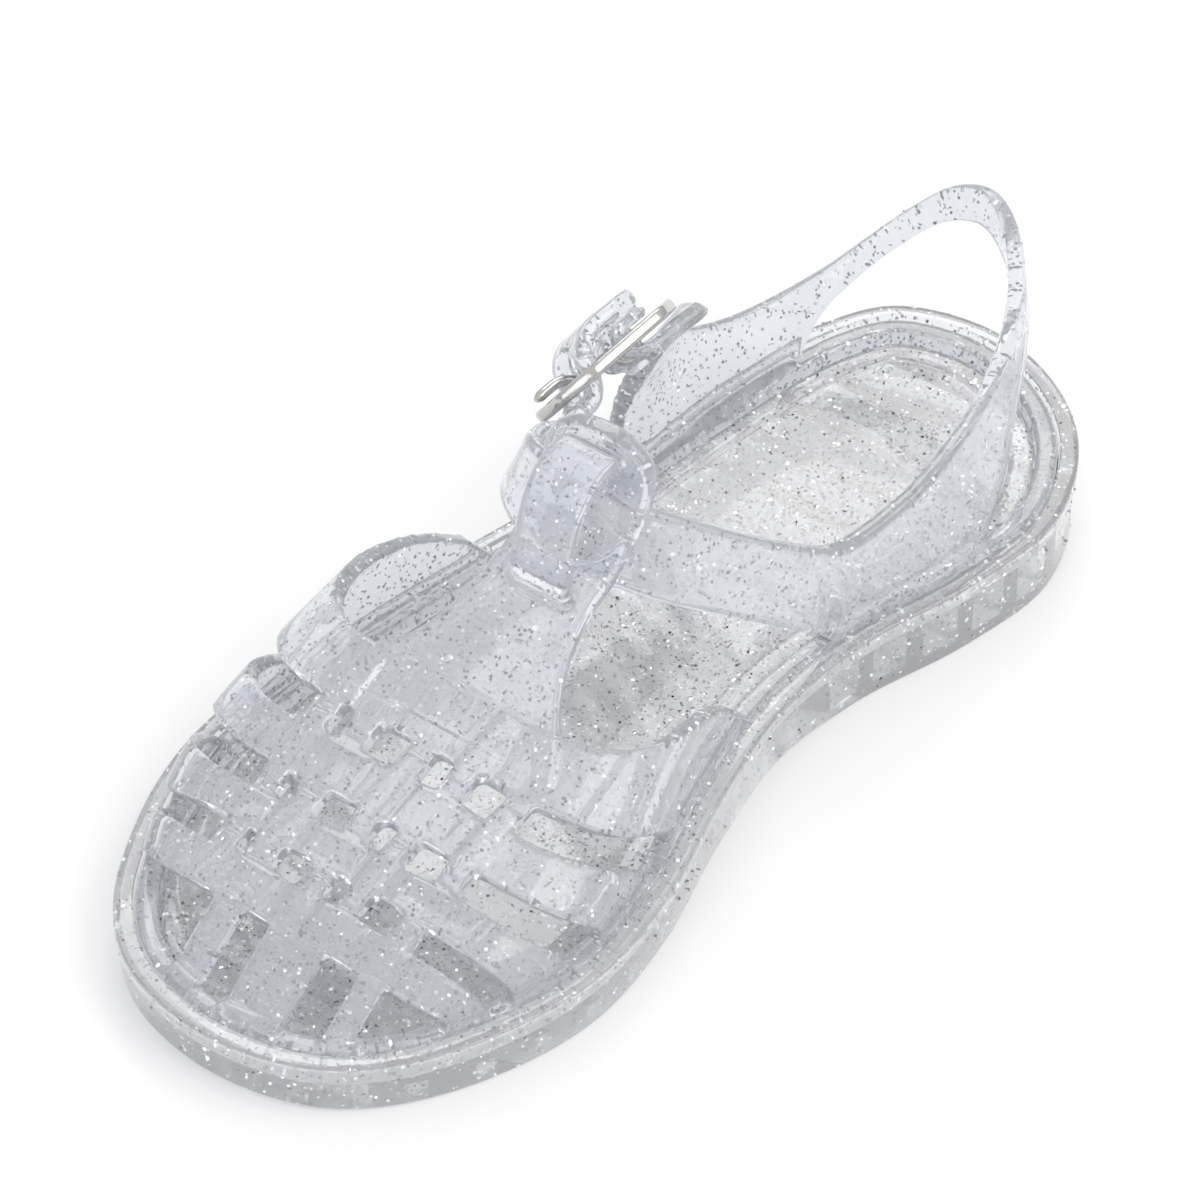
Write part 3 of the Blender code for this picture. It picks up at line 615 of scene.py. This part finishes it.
def makeWeave():
    rows = weaveRows()
    columns = weaveColumns()
    shares = [[columnShare(row, column) for column in columns] for row in rows]
    fineR, fineC = upper["cellRows"], upper["cellColumns"]
    rowCells, columnCells = len(rows) - 1, len(columns) - 1
    cells = {}
    for r in range(rowCells):
        for c in range(columnCells):
            cells[r, c] = weaveLevel(r, c, columns)
    spots = {}

    def spot(i, j):
        # point and normal at a fine row and column
        if (i, j) not in spots:
            r, c = min(i // fineR, rowCells - 1), min(j // fineC, columnCells - 1)
            u, v = i / fineR - r, j / fineC - c
            row = rows[r].lerp(rows[r + 1], u)
            low = shares[r][c] + (shares[r][c + 1] - shares[r][c]) * v
            high = shares[r + 1][c] + (shares[r + 1][c + 1] - shares[r + 1][c]) * v
            share = low + (high - low) * u
            station = rowStation(row, share)
            spots[i, j] = vampPoint(share, station), vampNormal(share, station)
        return spots[i, j]

    def stripRise(i, j, way, r, c):
        # how far a top strip swells between its two edges, as on a strap with a rounded face
        if way == "crosswise":
            first = (r // 4) * 4 * fineR
            share = (i - first) / (2 * fineR)
        else:
            share = (j - c * fineC) / fineC
        return upper["crownOfStrip"] * (1 - abs(2 * share - 1) ** upper["flatOfStrip"])

    points, faces, index = [], [], {}

    def corner(i, j, level, cell):
        way = cells[cell][1] if level == 2 else ""
        key = (i, j, level, way)
        if key not in index:
            point, normal = spot(i, j)
            depth = (-upper["wall"], 0.0, upper["raised"])[level]
            if level == 2:
                depth += stripRise(i, j, way, *cell) - upper["crownOfStrip"]
            index[key] = len(points)
            points.append(place(*(point + normal * depth)))
        return index[key]

    def addFace(corners):
        kept = list(dict.fromkeys(corners))
        if len(kept) > 2:
            faces.append(kept)

    def levelOf(i, j):
        if 0 <= i < rowCells * fineR and 0 <= j < columnCells * fineC:
            return cells[i // fineR, j // fineC]
        return 0, ""

    for i in range(rowCells * fineR):
        for j in range(columnCells * fineC):
            cell = (i // fineR, j // fineC)
            level, way = cells[cell]
            if not level:
                continue
            square = ((i, j), (i, j + 1), (i + 1, j + 1), (i + 1, j))
            addFace([corner(*p, level, cell) for p in square])
            addFace([corner(*p, 0, cell) for p in square[::-1]])
            for oi, oj, a, b in ((i - 1, j, 0, 1), (i, j + 1, 1, 2), (i + 1, j, 2, 3), (i, j - 1, 3, 0)):
                p, q = square[a], square[b]
                other, otherWay = levelOf(oi, oj)
                for step in range(other, level):
                    lower = [corner(*q, step, cell), corner(*p, step, cell)]
                    addFace(lower + [corner(*p, step + 1, cell), corner(*q, step + 1, cell)])
                if level == other == 2 and way != otherWay and (i, j) < (oi, oj):
                    beyond = (oi // fineR, oj // fineC)
                    here = [corner(*p, 2, cell), corner(*q, 2, cell)]
                    addFace(here + [corner(*q, 2, beyond), corner(*p, 2, beyond)])
    return makeMesh("weave", points, faces)


def strapFeet():
    # short walls that carry each cross strap down into the base ring
    feet = []
    for strap in upper["crossStraps"]:
        for side, back, front in ((-1.0, strap[0], strap[1]), (1.0, strap[4], strap[5])):
            rows = []
            count = upper["footSteps"]
            for i in range(count + 1):
                station = back + (front - back) * i / count
                point = vampPoint(side, station)
                inward = Vector((-side, 0.0, 0.0)) * upper["wall"] / 2
                top = point + inward + Vector((0.0, 0.0, upper["footRise"]))
                low = point + inward - Vector((0.0, 0.0, upper["rootDepth"]))
                rows.append((*top, *low))
            feet.append(band("foot", rows, 1, upper["wall"], upper["footRound"]))
    return feet


def band(name, rows, steps, thickness, corner=None):
    # strap through rows of six values: upper edge, then lower edge
    line = spline(rows, steps) if steps > 1 else [Vector(row) for row in rows]
    corner = min(upper["edgeRound"], thickness * upper["edgeShare"]) if corner is None else corner
    turns = upper["edgeTurns"]
    profile = []
    for up, out, first in ((1, 1, 0), (1, -1, 1), (-1, -1, 2), (-1, 1, 3)):
        for k in range(turns + 1):
            angle = math.pi / 2 * (first + k / turns)
            profile.append((up, out, math.cos(angle) * corner, math.sin(angle) * corner))
    uppers = [Vector(row[:3]) for row in line]
    lowers = [Vector(row[3:]) for row in line]
    middles = [(a + b) / 2 for a, b in zip(uppers, lowers)]
    points = []
    for i, (a, b) in enumerate(zip(uppers, lowers)):
        along = middles[min(i + 1, len(line) - 1)] - middles[max(i - 1, 0)]
        out = along.cross(a - b).normalized()
        rise = (a - b).normalized()
        halfTall = (a - b).length / 2 - corner
        for up, side, dx, dy in profile:
            offset = rise * (up * halfTall + dy) + out * (side * (thickness / 2 - corner) + dx)
            points.append(place(*(middles[i] + offset)))
    size = len(profile)
    faces = [tuple(range(size)), tuple(range(len(points) - size, len(points)))]
    for i in range(len(line) - 1):
        for a in range(size):
            b = (a + 1) % size
            faces.append((i * size + a, i * size + b, (i + 1) * size + b, (i + 1) * size + a))
    return makeMesh(name, points, faces)


def toeStation(across):
    low, high = upper["ribStations"][1] - 8.0, max(p.y for p in wallMiddle) - 0.02
    for _ in range(30):
        middle = (low + high) / 2
        left, right = sidesAt(wallMiddle, middle)
        if left < across < right:
            low = middle
        else:
            high = middle
    return low


def toeEdge(across, steps):
    strap = upper["crossStraps"][-1]
    row = [(strap[0] + strap[1]) / 2, (strap[2] + strap[3]) / 2, (strap[4] + strap[5]) / 2]
    start = rowStation(row, vampShare(across, row[1]))
    end = toeStation(across)
    made = []
    for step in range(steps):
        station = start + (end - start) * step / steps
        point = vampPoint(vampShare(across, station), station)
        made.append((across, station, point.z - upper["wall"] * upper["toeRibSink"]))
    made.append((across, end, rim(end)))
    made.append((across, end, rim(end) - upper["rootDepth"]))
    return made


def makeToeRib(first, last):
    outer, inner = upper["ribs"][first][2], upper["ribs"][last][3]
    steps = upper["toeRibSteps"]
    rows = [(*a, *b) for a, b in zip(toeEdge(outer, steps), toeEdge(inner, steps))]
    return band("toeRib", rows, upper["toeRibFineSteps"], upper["wall"], upper["toeRibRound"])


def makeRing():
    low = sole["trayDepth"] - gap
    loops = [loop(ringOut, belowRim(low))]
    for distance, drop in rounded(ringOut, 0.0, upper["ringRound"], upper["ringSteps"])[::-1]:
        loops.append(loop(distance, belowRim(drop)))
    for distance, drop in rounded(0.0, 0.0, upper["ringRound"], upper["ringSteps"]):
        loops.append(loop(ringIn - distance, belowRim(drop)))
    loops.append(loop(ringIn, belowRim(low)))
    return loft("ring", loops, capped=False)


# Buckle: its own frame, along towards the heel and out away from the foot

buckle = {
    "centre": (-14.6, 61.3, 39.6),
    "along": (0.08, -0.98, 0.12),
    "out": (-0.82, 0.1, 0.56),
    "length": 23.0,
    "height": 16.6,
    "chamfer": 4.6,
    "chamferInside": 0.25,       # share of the bar that the chamfer of the bar's middle line is less
    "bar": 2.1,
    "depth": 1.8,
    "barRound": 0.5,
    "cornerRound": 0.9,
    "cornerSteps": 4,
    "hingeAt": 3.4,
    "hingeRadius": 0.85,
    "prongRadius": 0.75,
    "prongTip": 0.5,
    "frameCrispAbove": 50,       # degrees
    "prongCrispAbove": 60,
    "prongCurl": (150.0, -100.0, 14),
    "prong": ((0.4, 0.3), (-2.2, 0.2), (-4.6, 0.1), (-7.0, 1.9), (-9.4, 2.15), (-11.6, 2.1)),
}


def buckleAxes():
    along = Vector(buckle["along"]).normalized()
    out = Vector(buckle["out"])
    out = (out - along * out.dot(along)).normalized()
    up = along.cross(out)
    if up.z < 0:
        up.negate()
    return Vector(buckle["centre"]), along, up, out


def inBuckle(along, up, out):
    centre, axisAlong, axisUp, axisOut = buckleAxes()
    return centre + axisAlong * along + axisUp * up + axisOut * out


def buckleRows(table):
    rows = []
    for along, out, width in table:
        rows.append((*inBuckle(along, width / 2, out), *inBuckle(along, -width / 2, out)))
    return rows


def makeSlot(start, end, low, high, width):
    points = []
    for along in (start, end):
        for up in (-width / 2, width / 2):
            for out in (low, high):
                points.append(place(*inBuckle(along, up, out)))
    faces = [(0, 1, 3, 2), (4, 6, 7, 5), (0, 4, 5, 1), (2, 3, 7, 6), (0, 2, 6, 4), (1, 5, 7, 3)]
    return makeMesh("slot", points, faces)


def makeUpper():
    rows = buckleRows(upper["stub"]) + list(upper["band"]) + buckleRows(upper["strapEnd"])
    straps = [
        band("heelAndAnkleBand", rows, upper["strapSteps"], upper["strapWall"]),
        band("fold", buckleRows(upper["fold"]), upper["foldSteps"], upper["foldWall"]),
    ]
    for piece in straps:
        for slotSizes in upper["prongSlots"]:
            cutWith(piece, makeSlot(*slotSizes))
    tBarRows = [(outer, s, z, inner, s, z) for outer, inner, s, z in upper["tBar"]]
    keeperRows = []
    last = len(upper["keeper"]) - 1
    start, end = upper["keeperAcross"]
    half = upper["keeperWidth"] / 2
    for i, (station, height) in enumerate(upper["keeper"]):
        middle = start + (end - start) * i / last
        keeperRows.append((middle - half, station, height, middle + half, station, height))
    straps.append(band("tBar", tBarRows, upper["strapSteps"], upper["strapWall"]))
    straps.append(band("keeper", keeperRows, upper["strapSteps"], upper["keeperWall"]))
    straps += [makeToeRib(*pair) for pair in upper["toeRibs"]]
    made = joined("upper", straps + strapFeet() + [makeRing(), makeWeave()])
    melt = made.modifiers.new("one moulding", "REMESH")
    melt.mode = "VOXEL"
    melt.voxel_size = upper["grain"] * mm
    soften = made.modifiers.new("soften", "SMOOTH")
    soften.factor = upper["softenBy"]
    soften.iterations = upper["softenTimes"]
    lighter = made.modifiers.new("lighter mesh", "DECIMATE")
    lighter.ratio = upper["keptFaces"]
    applied(made)
    made.data.shade_smooth()
    return made


def sweepRing(name, path, side, out, wide, deep, corner):
    # rounded bar swept round a closed path that lies in one plane
    turns = 3
    profile = []
    for first, a, b in ((0, 1, 1), (1, -1, 1), (2, -1, -1), (3, 1, -1)):
        for k in range(turns + 1):
            angle = math.pi / 2 * (first + k / turns)
            x = a * (wide / 2 - corner) + math.cos(angle) * corner
            profile.append((x, b * (deep / 2 - corner) + math.sin(angle) * corner))
    size = len(profile)
    points = [place(*(p + s * x + out * y)) for p, s in zip(path, side) for x, y in profile]
    faces = []
    for i in range(len(path)):
        j = (i + 1) % len(path)
        for a in range(size):
            b = (a + 1) % size
            faces.append((i * size + a, i * size + b, j * size + b, j * size + a))
    return makeMesh(name, points, faces)


def rod(name, path, radius, sides=14, tip=1.0):
    # round rod along a path in the buckle's frame, its last part narrowed by tip
    points = [inBuckle(*p) for p in path]
    axes = buckleAxes()
    made = []
    last = len(points) - 1
    for i, point in enumerate(points):
        along = (points[min(i + 1, last)] - points[max(i - 1, 0)]).normalized()
        side = axes[2] if abs(along.dot(axes[2])) < 0.9 else axes[3]
        first = along.cross(side).normalized()
        second = along.cross(first)
        here = radius * (tip if i == last else 1.0)
        for k in range(sides):
            turn = 2 * math.pi * k / sides
            made.append(place(*(point + (first * math.cos(turn) + second * math.sin(turn)) * here)))
    faces = [tuple(range(sides)), tuple(range(len(made) - sides, len(made)))]
    for i in range(last):
        for a in range(sides):
            b = (a + 1) % sides
            faces.append((i * sides + a, i * sides + b, (i + 1) * sides + b, (i + 1) * sides + a))
    return makeMesh(name, made, faces)


def makeBuckleFrame():
    long = (buckle["length"] - buckle["bar"]) / 2
    tall = (buckle["height"] - buckle["bar"]) / 2
    cut = buckle["chamfer"] - buckle["bar"] * buckle["chamferInside"]
    corners = [
        Vector(p) for p in (
            (long, tall - cut), (long - cut, tall), (cut - long, tall), (-long, tall - cut),
            (-long, cut - tall), (cut - long, -tall), (long - cut, -tall), (long, cut - tall),
        )
    ]
    flat = []
    for i, here in enumerate(corners):
        back = (corners[i - 1] - here).normalized() * buckle["cornerRound"]
        ahead = (corners[(i + 1) % 8] - here).normalized() * buckle["cornerRound"]
        for k in range(buckle["cornerSteps"] + 1):
            t = k / buckle["cornerSteps"]
            flat.append((here + back).lerp(here, t).lerp(here.lerp(here + ahead, t), t))
    _, axisAlong, axisUp, axisOut = buckleAxes()
    path, side = [], []
    for i, p in enumerate(flat):
        run = (flat[(i + 1) % len(flat)] - flat[i - 1]).normalized()
        path.append(inBuckle(p.x, p.y, 0.0))
        side.append(axisAlong * -run.y + axisUp * run.x)
    ring = sweepRing("ring", path, side, axisOut, buckle["bar"], buckle["depth"], buckle["barRound"])
    ends = [(buckle["hingeAt"], -tall, 0.0), (buckle["hingeAt"], tall, 0.0)]
    bar = rod("bar", ends, buckle["hingeRadius"])
    return smoothEdges(joined("buckleFrame", [ring, bar]), buckle["frameCrispAbove"])


def makeProng():
    radius = buckle["hingeRadius"] + gap + buckle["prongRadius"]
    under, over, count = buckle["prongCurl"]
    path = []
    for k in range(count):
        turn = math.radians(over + (under - over) * k / (count - 1))
        path.append((buckle["hingeAt"] + radius * math.cos(turn), -radius * math.sin(turn)))
    path = spline(path + list(buckle["prong"]), 3)
    made = rod("bucklePin", [(p.x, 0.0, p.y) for p in path], buckle["prongRadius"], tip=buckle["prongTip"])
    return smoothEdges(made, buckle["prongCrispAbove"])


# Glitter: thin hexagonal flakes, each a closed piece of foil, laid inside the plastic

glitter = {
    "size": (0.17, 0.29),        # half width of a flake
    "thick": 0.012,
    "tilt": 0.6,
    "looksDown": -0.2,           # a face whose normal points lower than this counts as one that looks down
    # count, depth under the surface, share of the count on faces that look down, seed
    "upper": (9400, (0.02, 0.9), 0.7, 11),
    "footbed": (10500, (-0.05, 0.3), 0.0, 12),
    "sole": (12500, (-0.03, 0.5), 0.25, 13),
}


def makeGlitter(host, name):
    count, depths, below, seed = glitter[name]
    draw = np.random.default_rng(seed)
    mesh = host.data
    mesh.calc_loop_triangles()
    where = np.empty(len(mesh.vertices) * 3)
    mesh.vertices.foreach_get("co", where)
    where = where.reshape(-1, 3)
    corners = np.empty(len(mesh.loop_triangles) * 3, np.int32)
    mesh.loop_triangles.foreach_get("vertices", corners)
    corners = where[corners.reshape(-1, 3)]
    cross = np.cross(corners[:, 1] - corners[:, 0], corners[:, 2] - corners[:, 0])
    area = np.linalg.norm(cross, axis=1)
    weight = np.where(cross[:, 2] < glitter["looksDown"] * area, area * below, area)
    pick = draw.choice(len(area), count, p=weight / weight.sum())
    u, v = draw.random(count), draw.random(count)
    over = u + v > 1
    u[over], v[over] = 1 - u[over], 1 - v[over]
    c = corners[pick]
    normal = cross[pick] / area[pick][:, None]
    middle = c[:, 0] + (c[:, 1] - c[:, 0]) * u[:, None] + (c[:, 2] - c[:, 0]) * v[:, None]
    middle -= normal * (draw.uniform(*depths, count) * mm)[:, None]
    facing = normal + draw.normal(0, glitter["tilt"], (count, 3))
    facing /= np.linalg.norm(facing, axis=1)[:, None]
    helper = draw.normal(0, 1, (count, 3))
    first = np.cross(facing, helper)
    first /= np.linalg.norm(first, axis=1)[:, None]
    second = np.cross(facing, first)
    half = draw.uniform(*glitter["size"], count) * mm
    rimPoints = []
    for k in range(6):
        turn = math.pi / 3 * k
        rimPoints.append(middle + (first * math.cos(turn) + second * math.sin(turn)) * half[:, None])
    lift = facing * glitter["thick"] * mm
    points = np.stack(rimPoints + [middle + lift, middle - lift], 1).reshape(-1, 3)
    fan = [(k, (k + 1) % 6, 6) for k in range(6)] + [((k + 1) % 6, k, 7) for k in range(6)]
    faces = (np.arange(count)[:, None, None] * 8 + np.array(fan)[None]).reshape(-1, 3)
    foil = bpy.data.meshes.new(name + "Glitter")
    foil.from_pydata(points.tolist(), [], faces.tolist())
    made = bpy.data.objects.new(name + "Glitter", foil)
    bpy.context.scene.collection.objects.link(made)
    return made


# Materials

class Wire:
    # an output socket that takes part in sums
    def __init__(self, paint, socket):
        self.paint = paint
        self.socket = socket

    def isTone(self, other):
        return isinstance(other, tuple) or self.socket.type in ("RGBA", "VECTOR") or (
            isinstance(other, Wire) and other.socket.type in ("RGBA", "VECTOR"))

    def sum(self, operation, a, b):
        if self.isTone(b if a is self else a):
            return self.paint.node("ShaderNodeVectorMath", {"operation": operation}, [a, b])["Vector"]
        return self.paint.node("ShaderNodeMath", {"operation": operation}, [a, b])["Value"]

    def __add__(self, other):
        return self.sum("ADD", self, other)

    def __radd__(self, other):
        return self.sum("ADD", other, self)

    def __sub__(self, other):
        return self.sum("SUBTRACT", self, other)

    def __rsub__(self, other):
        return self.sum("SUBTRACT", other, self)

    def __mul__(self, other):
        return self.sum("MULTIPLY", self, other)

    def __rmul__(self, other):
        return self.sum("MULTIPLY", other, self)


class Paint:
    # a material, or the surroundings, and its nodes
    def __init__(self, name, shelf="materials", shader="Principled BSDF"):
        self.material = getattr(bpy.data, shelf).new(name)
        self.material.use_nodes = True
        self.tree = self.material.node_tree
        self.shader = self.tree.nodes[shader]

    def put(self, socket, value):
        if isinstance(value, Wire):
            self.tree.links.new(value.socket, socket)
        elif isinstance(value, tuple) and len(value) == 3 and socket.type == "RGBA":
            socket.default_value = (*value, 1.0)
        elif isinstance(value, (int, float)) and socket.type == "VECTOR":
            socket.default_value = (value,) * 3
        else:
            socket.default_value = value

    def node(self, kind, settings=None, sockets=None):
        # settings first, then socket values or links, by name or in order
        made = self.tree.nodes.new(kind)
        for key, value in (settings or {}).items():
            if key == "ramp":
                stops = made.color_ramp.elements
                while len(stops) < len(value):
                    stops.new(0.5)
                for stop, (at, tone) in zip(stops, value):
                    stop.position = at
                    stop.color = (*tone, 1.0)
            else:
                setattr(made, key, value)
        pairs = sockets.items() if isinstance(sockets, dict) else enumerate(sockets or [])
        for key, value in pairs:
            self.put(made.inputs[key], value)
        return {out.name: Wire(self, out) for out in made.outputs if out.enabled}

    def mix(self, share, a, b):
        made = self.tree.nodes.new("ShaderNodeMix")
        made.data_type = "RGBA"
        for key, value in (("Factor_Float", share), ("A_Color", a), ("B_Color", b)):
            self.put(next(s for s in made.inputs if s.identifier == key), value)
        return Wire(self, next(s for s in made.outputs if s.identifier == "Result_Color"))

    def place(self):
        return self.node("ShaderNodeTexCoord")["Object"]

    def noise(self, scale, detail=2.0, roughness=0.5):
        values = {"Vector": self.place(), "Scale": scale, "Detail": detail, "Roughness": roughness}
        return self.node("ShaderNodeTexNoise", {}, values)["Fac"]

    def bump(self, height, strength, distance):
        values = {"Height": height, "Strength": strength, "Distance": distance}
        return self.node("ShaderNodeBump", {}, values)["Normal"]

    def finish(self, **values):
        for key, value in values.items():
            self.put(self.shader.inputs[key.replace("_", " ")], value)
        return self.material


clear = {
    # passes is the share of the light that goes through the plastic
    "upper": {
        "passes": 0.84, "tint": (0.805, 0.828, 0.872), "cool": (0.69, 0.726, 0.80),
        "rough": 0.04, "ripple": 0.10},
    "sole": {
        "passes": 0.86, "tint": (0.975, 0.985, 1.0), "cool": (0.93, 0.948, 0.985),
        "rough": 0.05, "ripple": 0.14},
    "footbed": {
        "passes": 0.85, "tint": (0.97, 0.975, 0.985), "cool": (0.91, 0.92, 0.95),
        "rough": 0.04, "ripple": 0.10},
}
plastic = {
    "bending": 1.44,
    "flow": 55.0,                # scale of the slow waves that the moulding leaves
    "fine": 900.0,               # scale of the grain
    "flowRough": 0.05,
    "fineRough": 0.03,
    "roughShift": -0.03,
    "flowRipple": 0.8,
    "fineRipple": 0.06,
    "rippleDeep": 0.002,         # metres
}


def clearPlastic(name):
    look = clear[name]
    paint = Paint("clear " + name)
    flow = paint.noise(plastic["flow"], 3.0)
    fine = paint.noise(plastic["fine"], 2.0)
    colour = paint.mix(flow, look["tint"], look["cool"])
    rough = flow * plastic["flowRough"] + fine * plastic["fineRough"] + (look["rough"] + plastic["roughShift"])
    wave = flow * plastic["flowRipple"] + fine * plastic["fineRipple"]
    normal = paint.bump(wave, look["ripple"], plastic["rippleDeep"])
    return paint.finish(
        Base_Color=colour, Roughness=rough, Normal=normal, IOR=plastic["bending"],
        Transmission_Weight=look["passes"])


foilLook = {
    # each flake takes one tone at random: about a third near black, as painted shade for flakes turned away
    # from the light, the rest grey to brilliant silver
    "tones": (
        (0.0, (0.02, 0.02, 0.025)), (0.36, (0.03, 0.03, 0.04)), (0.41, (0.60, 0.61, 0.63)),
        (0.52, (0.96, 0.96, 0.97)), (1.0, (1.0, 1.0, 1.0)),
    ),
    "speck": 2600.0,
    "rough": 0.06,
    "speckRough": 0.2,
}


def silverFoil():
    paint = Paint("silver foil")
    speck = paint.noise(foilLook["speck"], 1.0)
    flake = paint.node("ShaderNodeNewGeometry")["Random Per Island"]
    # painted shade: the near-black tones on flakes picked at random stand for flakes that catch no light
    colour = paint.node("ShaderNodeValToRGB", {"ramp": foilLook["tones"]}, [flake])["Color"]
    rough = speck * foilLook["speckRough"] + foilLook["rough"]
    return paint.finish(Base_Color=colour, Roughness=rough, Metallic=1.0)


nickelLook = {
    "tones": ((0.46, 0.44, 0.41), (0.25, 0.24, 0.22)),
    "cloud": 320.0,
    "hair": 4200.0,
    "rough": 0.04,
    "cloudRough": 0.14,
    "cloudWear": 0.6,
    "hairWear": 0.3,
    "wear": 0.12,
    "wearDeep": 0.0006,          # metres
}


def brightNickel():
    paint = Paint("bright nickel")
    cloud = paint.noise(nickelLook["cloud"], 4.0)
    hair = paint.noise(nickelLook["hair"], 2.0)
    colour = paint.mix(cloud, *nickelLook["tones"])
    wear = cloud * nickelLook["cloudWear"] + hair * nickelLook["hairWear"]
    normal = paint.bump(wear, nickelLook["wear"], nickelLook["wearDeep"])
    rough = cloud * nickelLook["cloudRough"] + nickelLook["rough"]
    return paint.finish(Base_Color=colour, Roughness=rough, Metallic=1.0, Normal=normal)


floorLook = {"tones": ((0.93, 0.93, 0.93), (0.91, 0.91, 0.915)), "cloud": 3.0, "rough": 0.9}


def paperFloor():
    paint = Paint("white ground")
    tone = paint.mix(paint.noise(floorLook["cloud"]), *floorLook["tones"])
    return paint.finish(Base_Color=tone, Roughness=floorLook["rough"], Specular_IOR_Level=0.0)


def studioSky():
    # bright overhead and dim at the horizon, as inside a light tent
    paint = Paint("studio sky", "worlds", "Background")
    height = paint.node("ShaderNodeSeparateXYZ", {}, [paint.node("ShaderNodeTexCoord")["Generated"]])["Z"]
    tone = paint.node("ShaderNodeValToRGB", {"ramp": studio["sky"]}, [height])["Color"]
    return paint.finish(Color=tone, Strength=studio["skyStrength"])


# Making and placing the pieces

def stand(piece, finish, node=None):
    piece.data.materials.clear()
    piece.data.materials.append(finish)
    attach(piece, "root")
    if node:
        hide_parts(node)
    print("stage:", piece.name, len(piece.data.polygons), "faces")
    return piece


solePiece = stand(makeSole(), clearPlastic("sole"), "sole")
footbedPiece = stand(makeFootbed(), clearPlastic("footbed"), "footbed")
upperPiece = stand(makeUpper(), clearPlastic("upper"), "upper")
nickel = brightNickel()
stand(makeBuckleFrame(), nickel, "buckle_frame")
stand(makeProng(), nickel, "buckle_prong")
foil = silverFoil()
stand(makeGlitter(upperPiece, "upper"), foil)
stand(makeGlitter(footbedPiece, "footbed"), foil)
stand(makeGlitter(solePiece, "sole"), foil)


# Studio: white ground, pale surroundings, soft lamps from the right and from behind, a weaker one in front

studio = {
    "floorHalf": 3.0,
    "sky": ((0.0, (0.34, 0.37, 0.43)), (0.30, (0.68, 0.70, 0.74)), (0.80, (1.0, 1.0, 1.0))),
    "skyStrength": 1.19,
    "lamps": (
        # name, place, width, height, watts, colour
        ("keyLamp", (0.55, 0.15, 0.75), 0.7, 0.5, 4.9, (1.0, 0.99, 0.98)),
        ("backLamp", (-0.46, 0.62, 0.80), 0.5, 0.4, 3.8, (1.0, 1.0, 1.0)),
        ("fillLamp", (0.25, -0.75, 0.30), 0.6, 0.4, 2.8, (0.95, 0.97, 1.0)),
    ),
    "aim": (0.0, 0.0, 0.02),
    "eye": (0.38888, -0.51503, 0.61884),
    "lens": 205.0,
    "exposure": -0.5,            # with the gamma, a soft high-key print
    "gamma": 1.78,
    "bounces": {"max_bounces": 11, "transmission_bounces": 11, "diffuse_bounces": 2, "glossy_bounces": 3},
}


def aimed(thing, place, target):
    thing.location = place
    thing.rotation_euler = (Vector(target) - Vector(place)).to_track_quat("-Z", "Y").to_euler()
    bpy.context.scene.collection.objects.link(thing)
    return thing


def makeStudio():
    half = studio["floorHalf"]
    mesh = bpy.data.meshes.new("ground")
    corners = [(-half, -half, 0), (half, -half, 0), (half, half, 0), (-half, half, 0)]
    mesh.from_pydata(corners, [], [(0, 1, 2, 3)])
    mesh.materials.append(paperFloor())
    ground = bpy.data.objects.new("ground", mesh)
    bpy.context.scene.collection.objects.link(ground)
    bpy.context.scene.world = studioSky()
    for name, spot, wide, tall, watts, colour in studio["lamps"]:
        lamp = bpy.data.lights.new(name, "AREA")
        lamp.shape = "RECTANGLE"
        lamp.size = wide
        lamp.size_y = tall
        lamp.energy = watts
        lamp.color = colour
        aimed(bpy.data.objects.new(name, lamp), spot, studio["aim"])
    camera = bpy.data.cameras.new("camera")
    camera.sensor_width = 36.0
    camera.lens = studio["lens"]
    camera.clip_start = 0.05
    bpy.context.scene.camera = aimed(bpy.data.objects.new("camera", camera), studio["eye"], studio["aim"])
    view = bpy.context.scene.view_settings
    view.view_transform = "Standard"
    view.exposure = studio["exposure"]
    view.gamma = studio["gamma"]
    for kind, most in studio["bounces"].items():
        setattr(bpy.context.scene.cycles, kind, most)
    bpy.context.scene.cycles.caustics_reflective = False


makeStudio()
print("stage: studio")
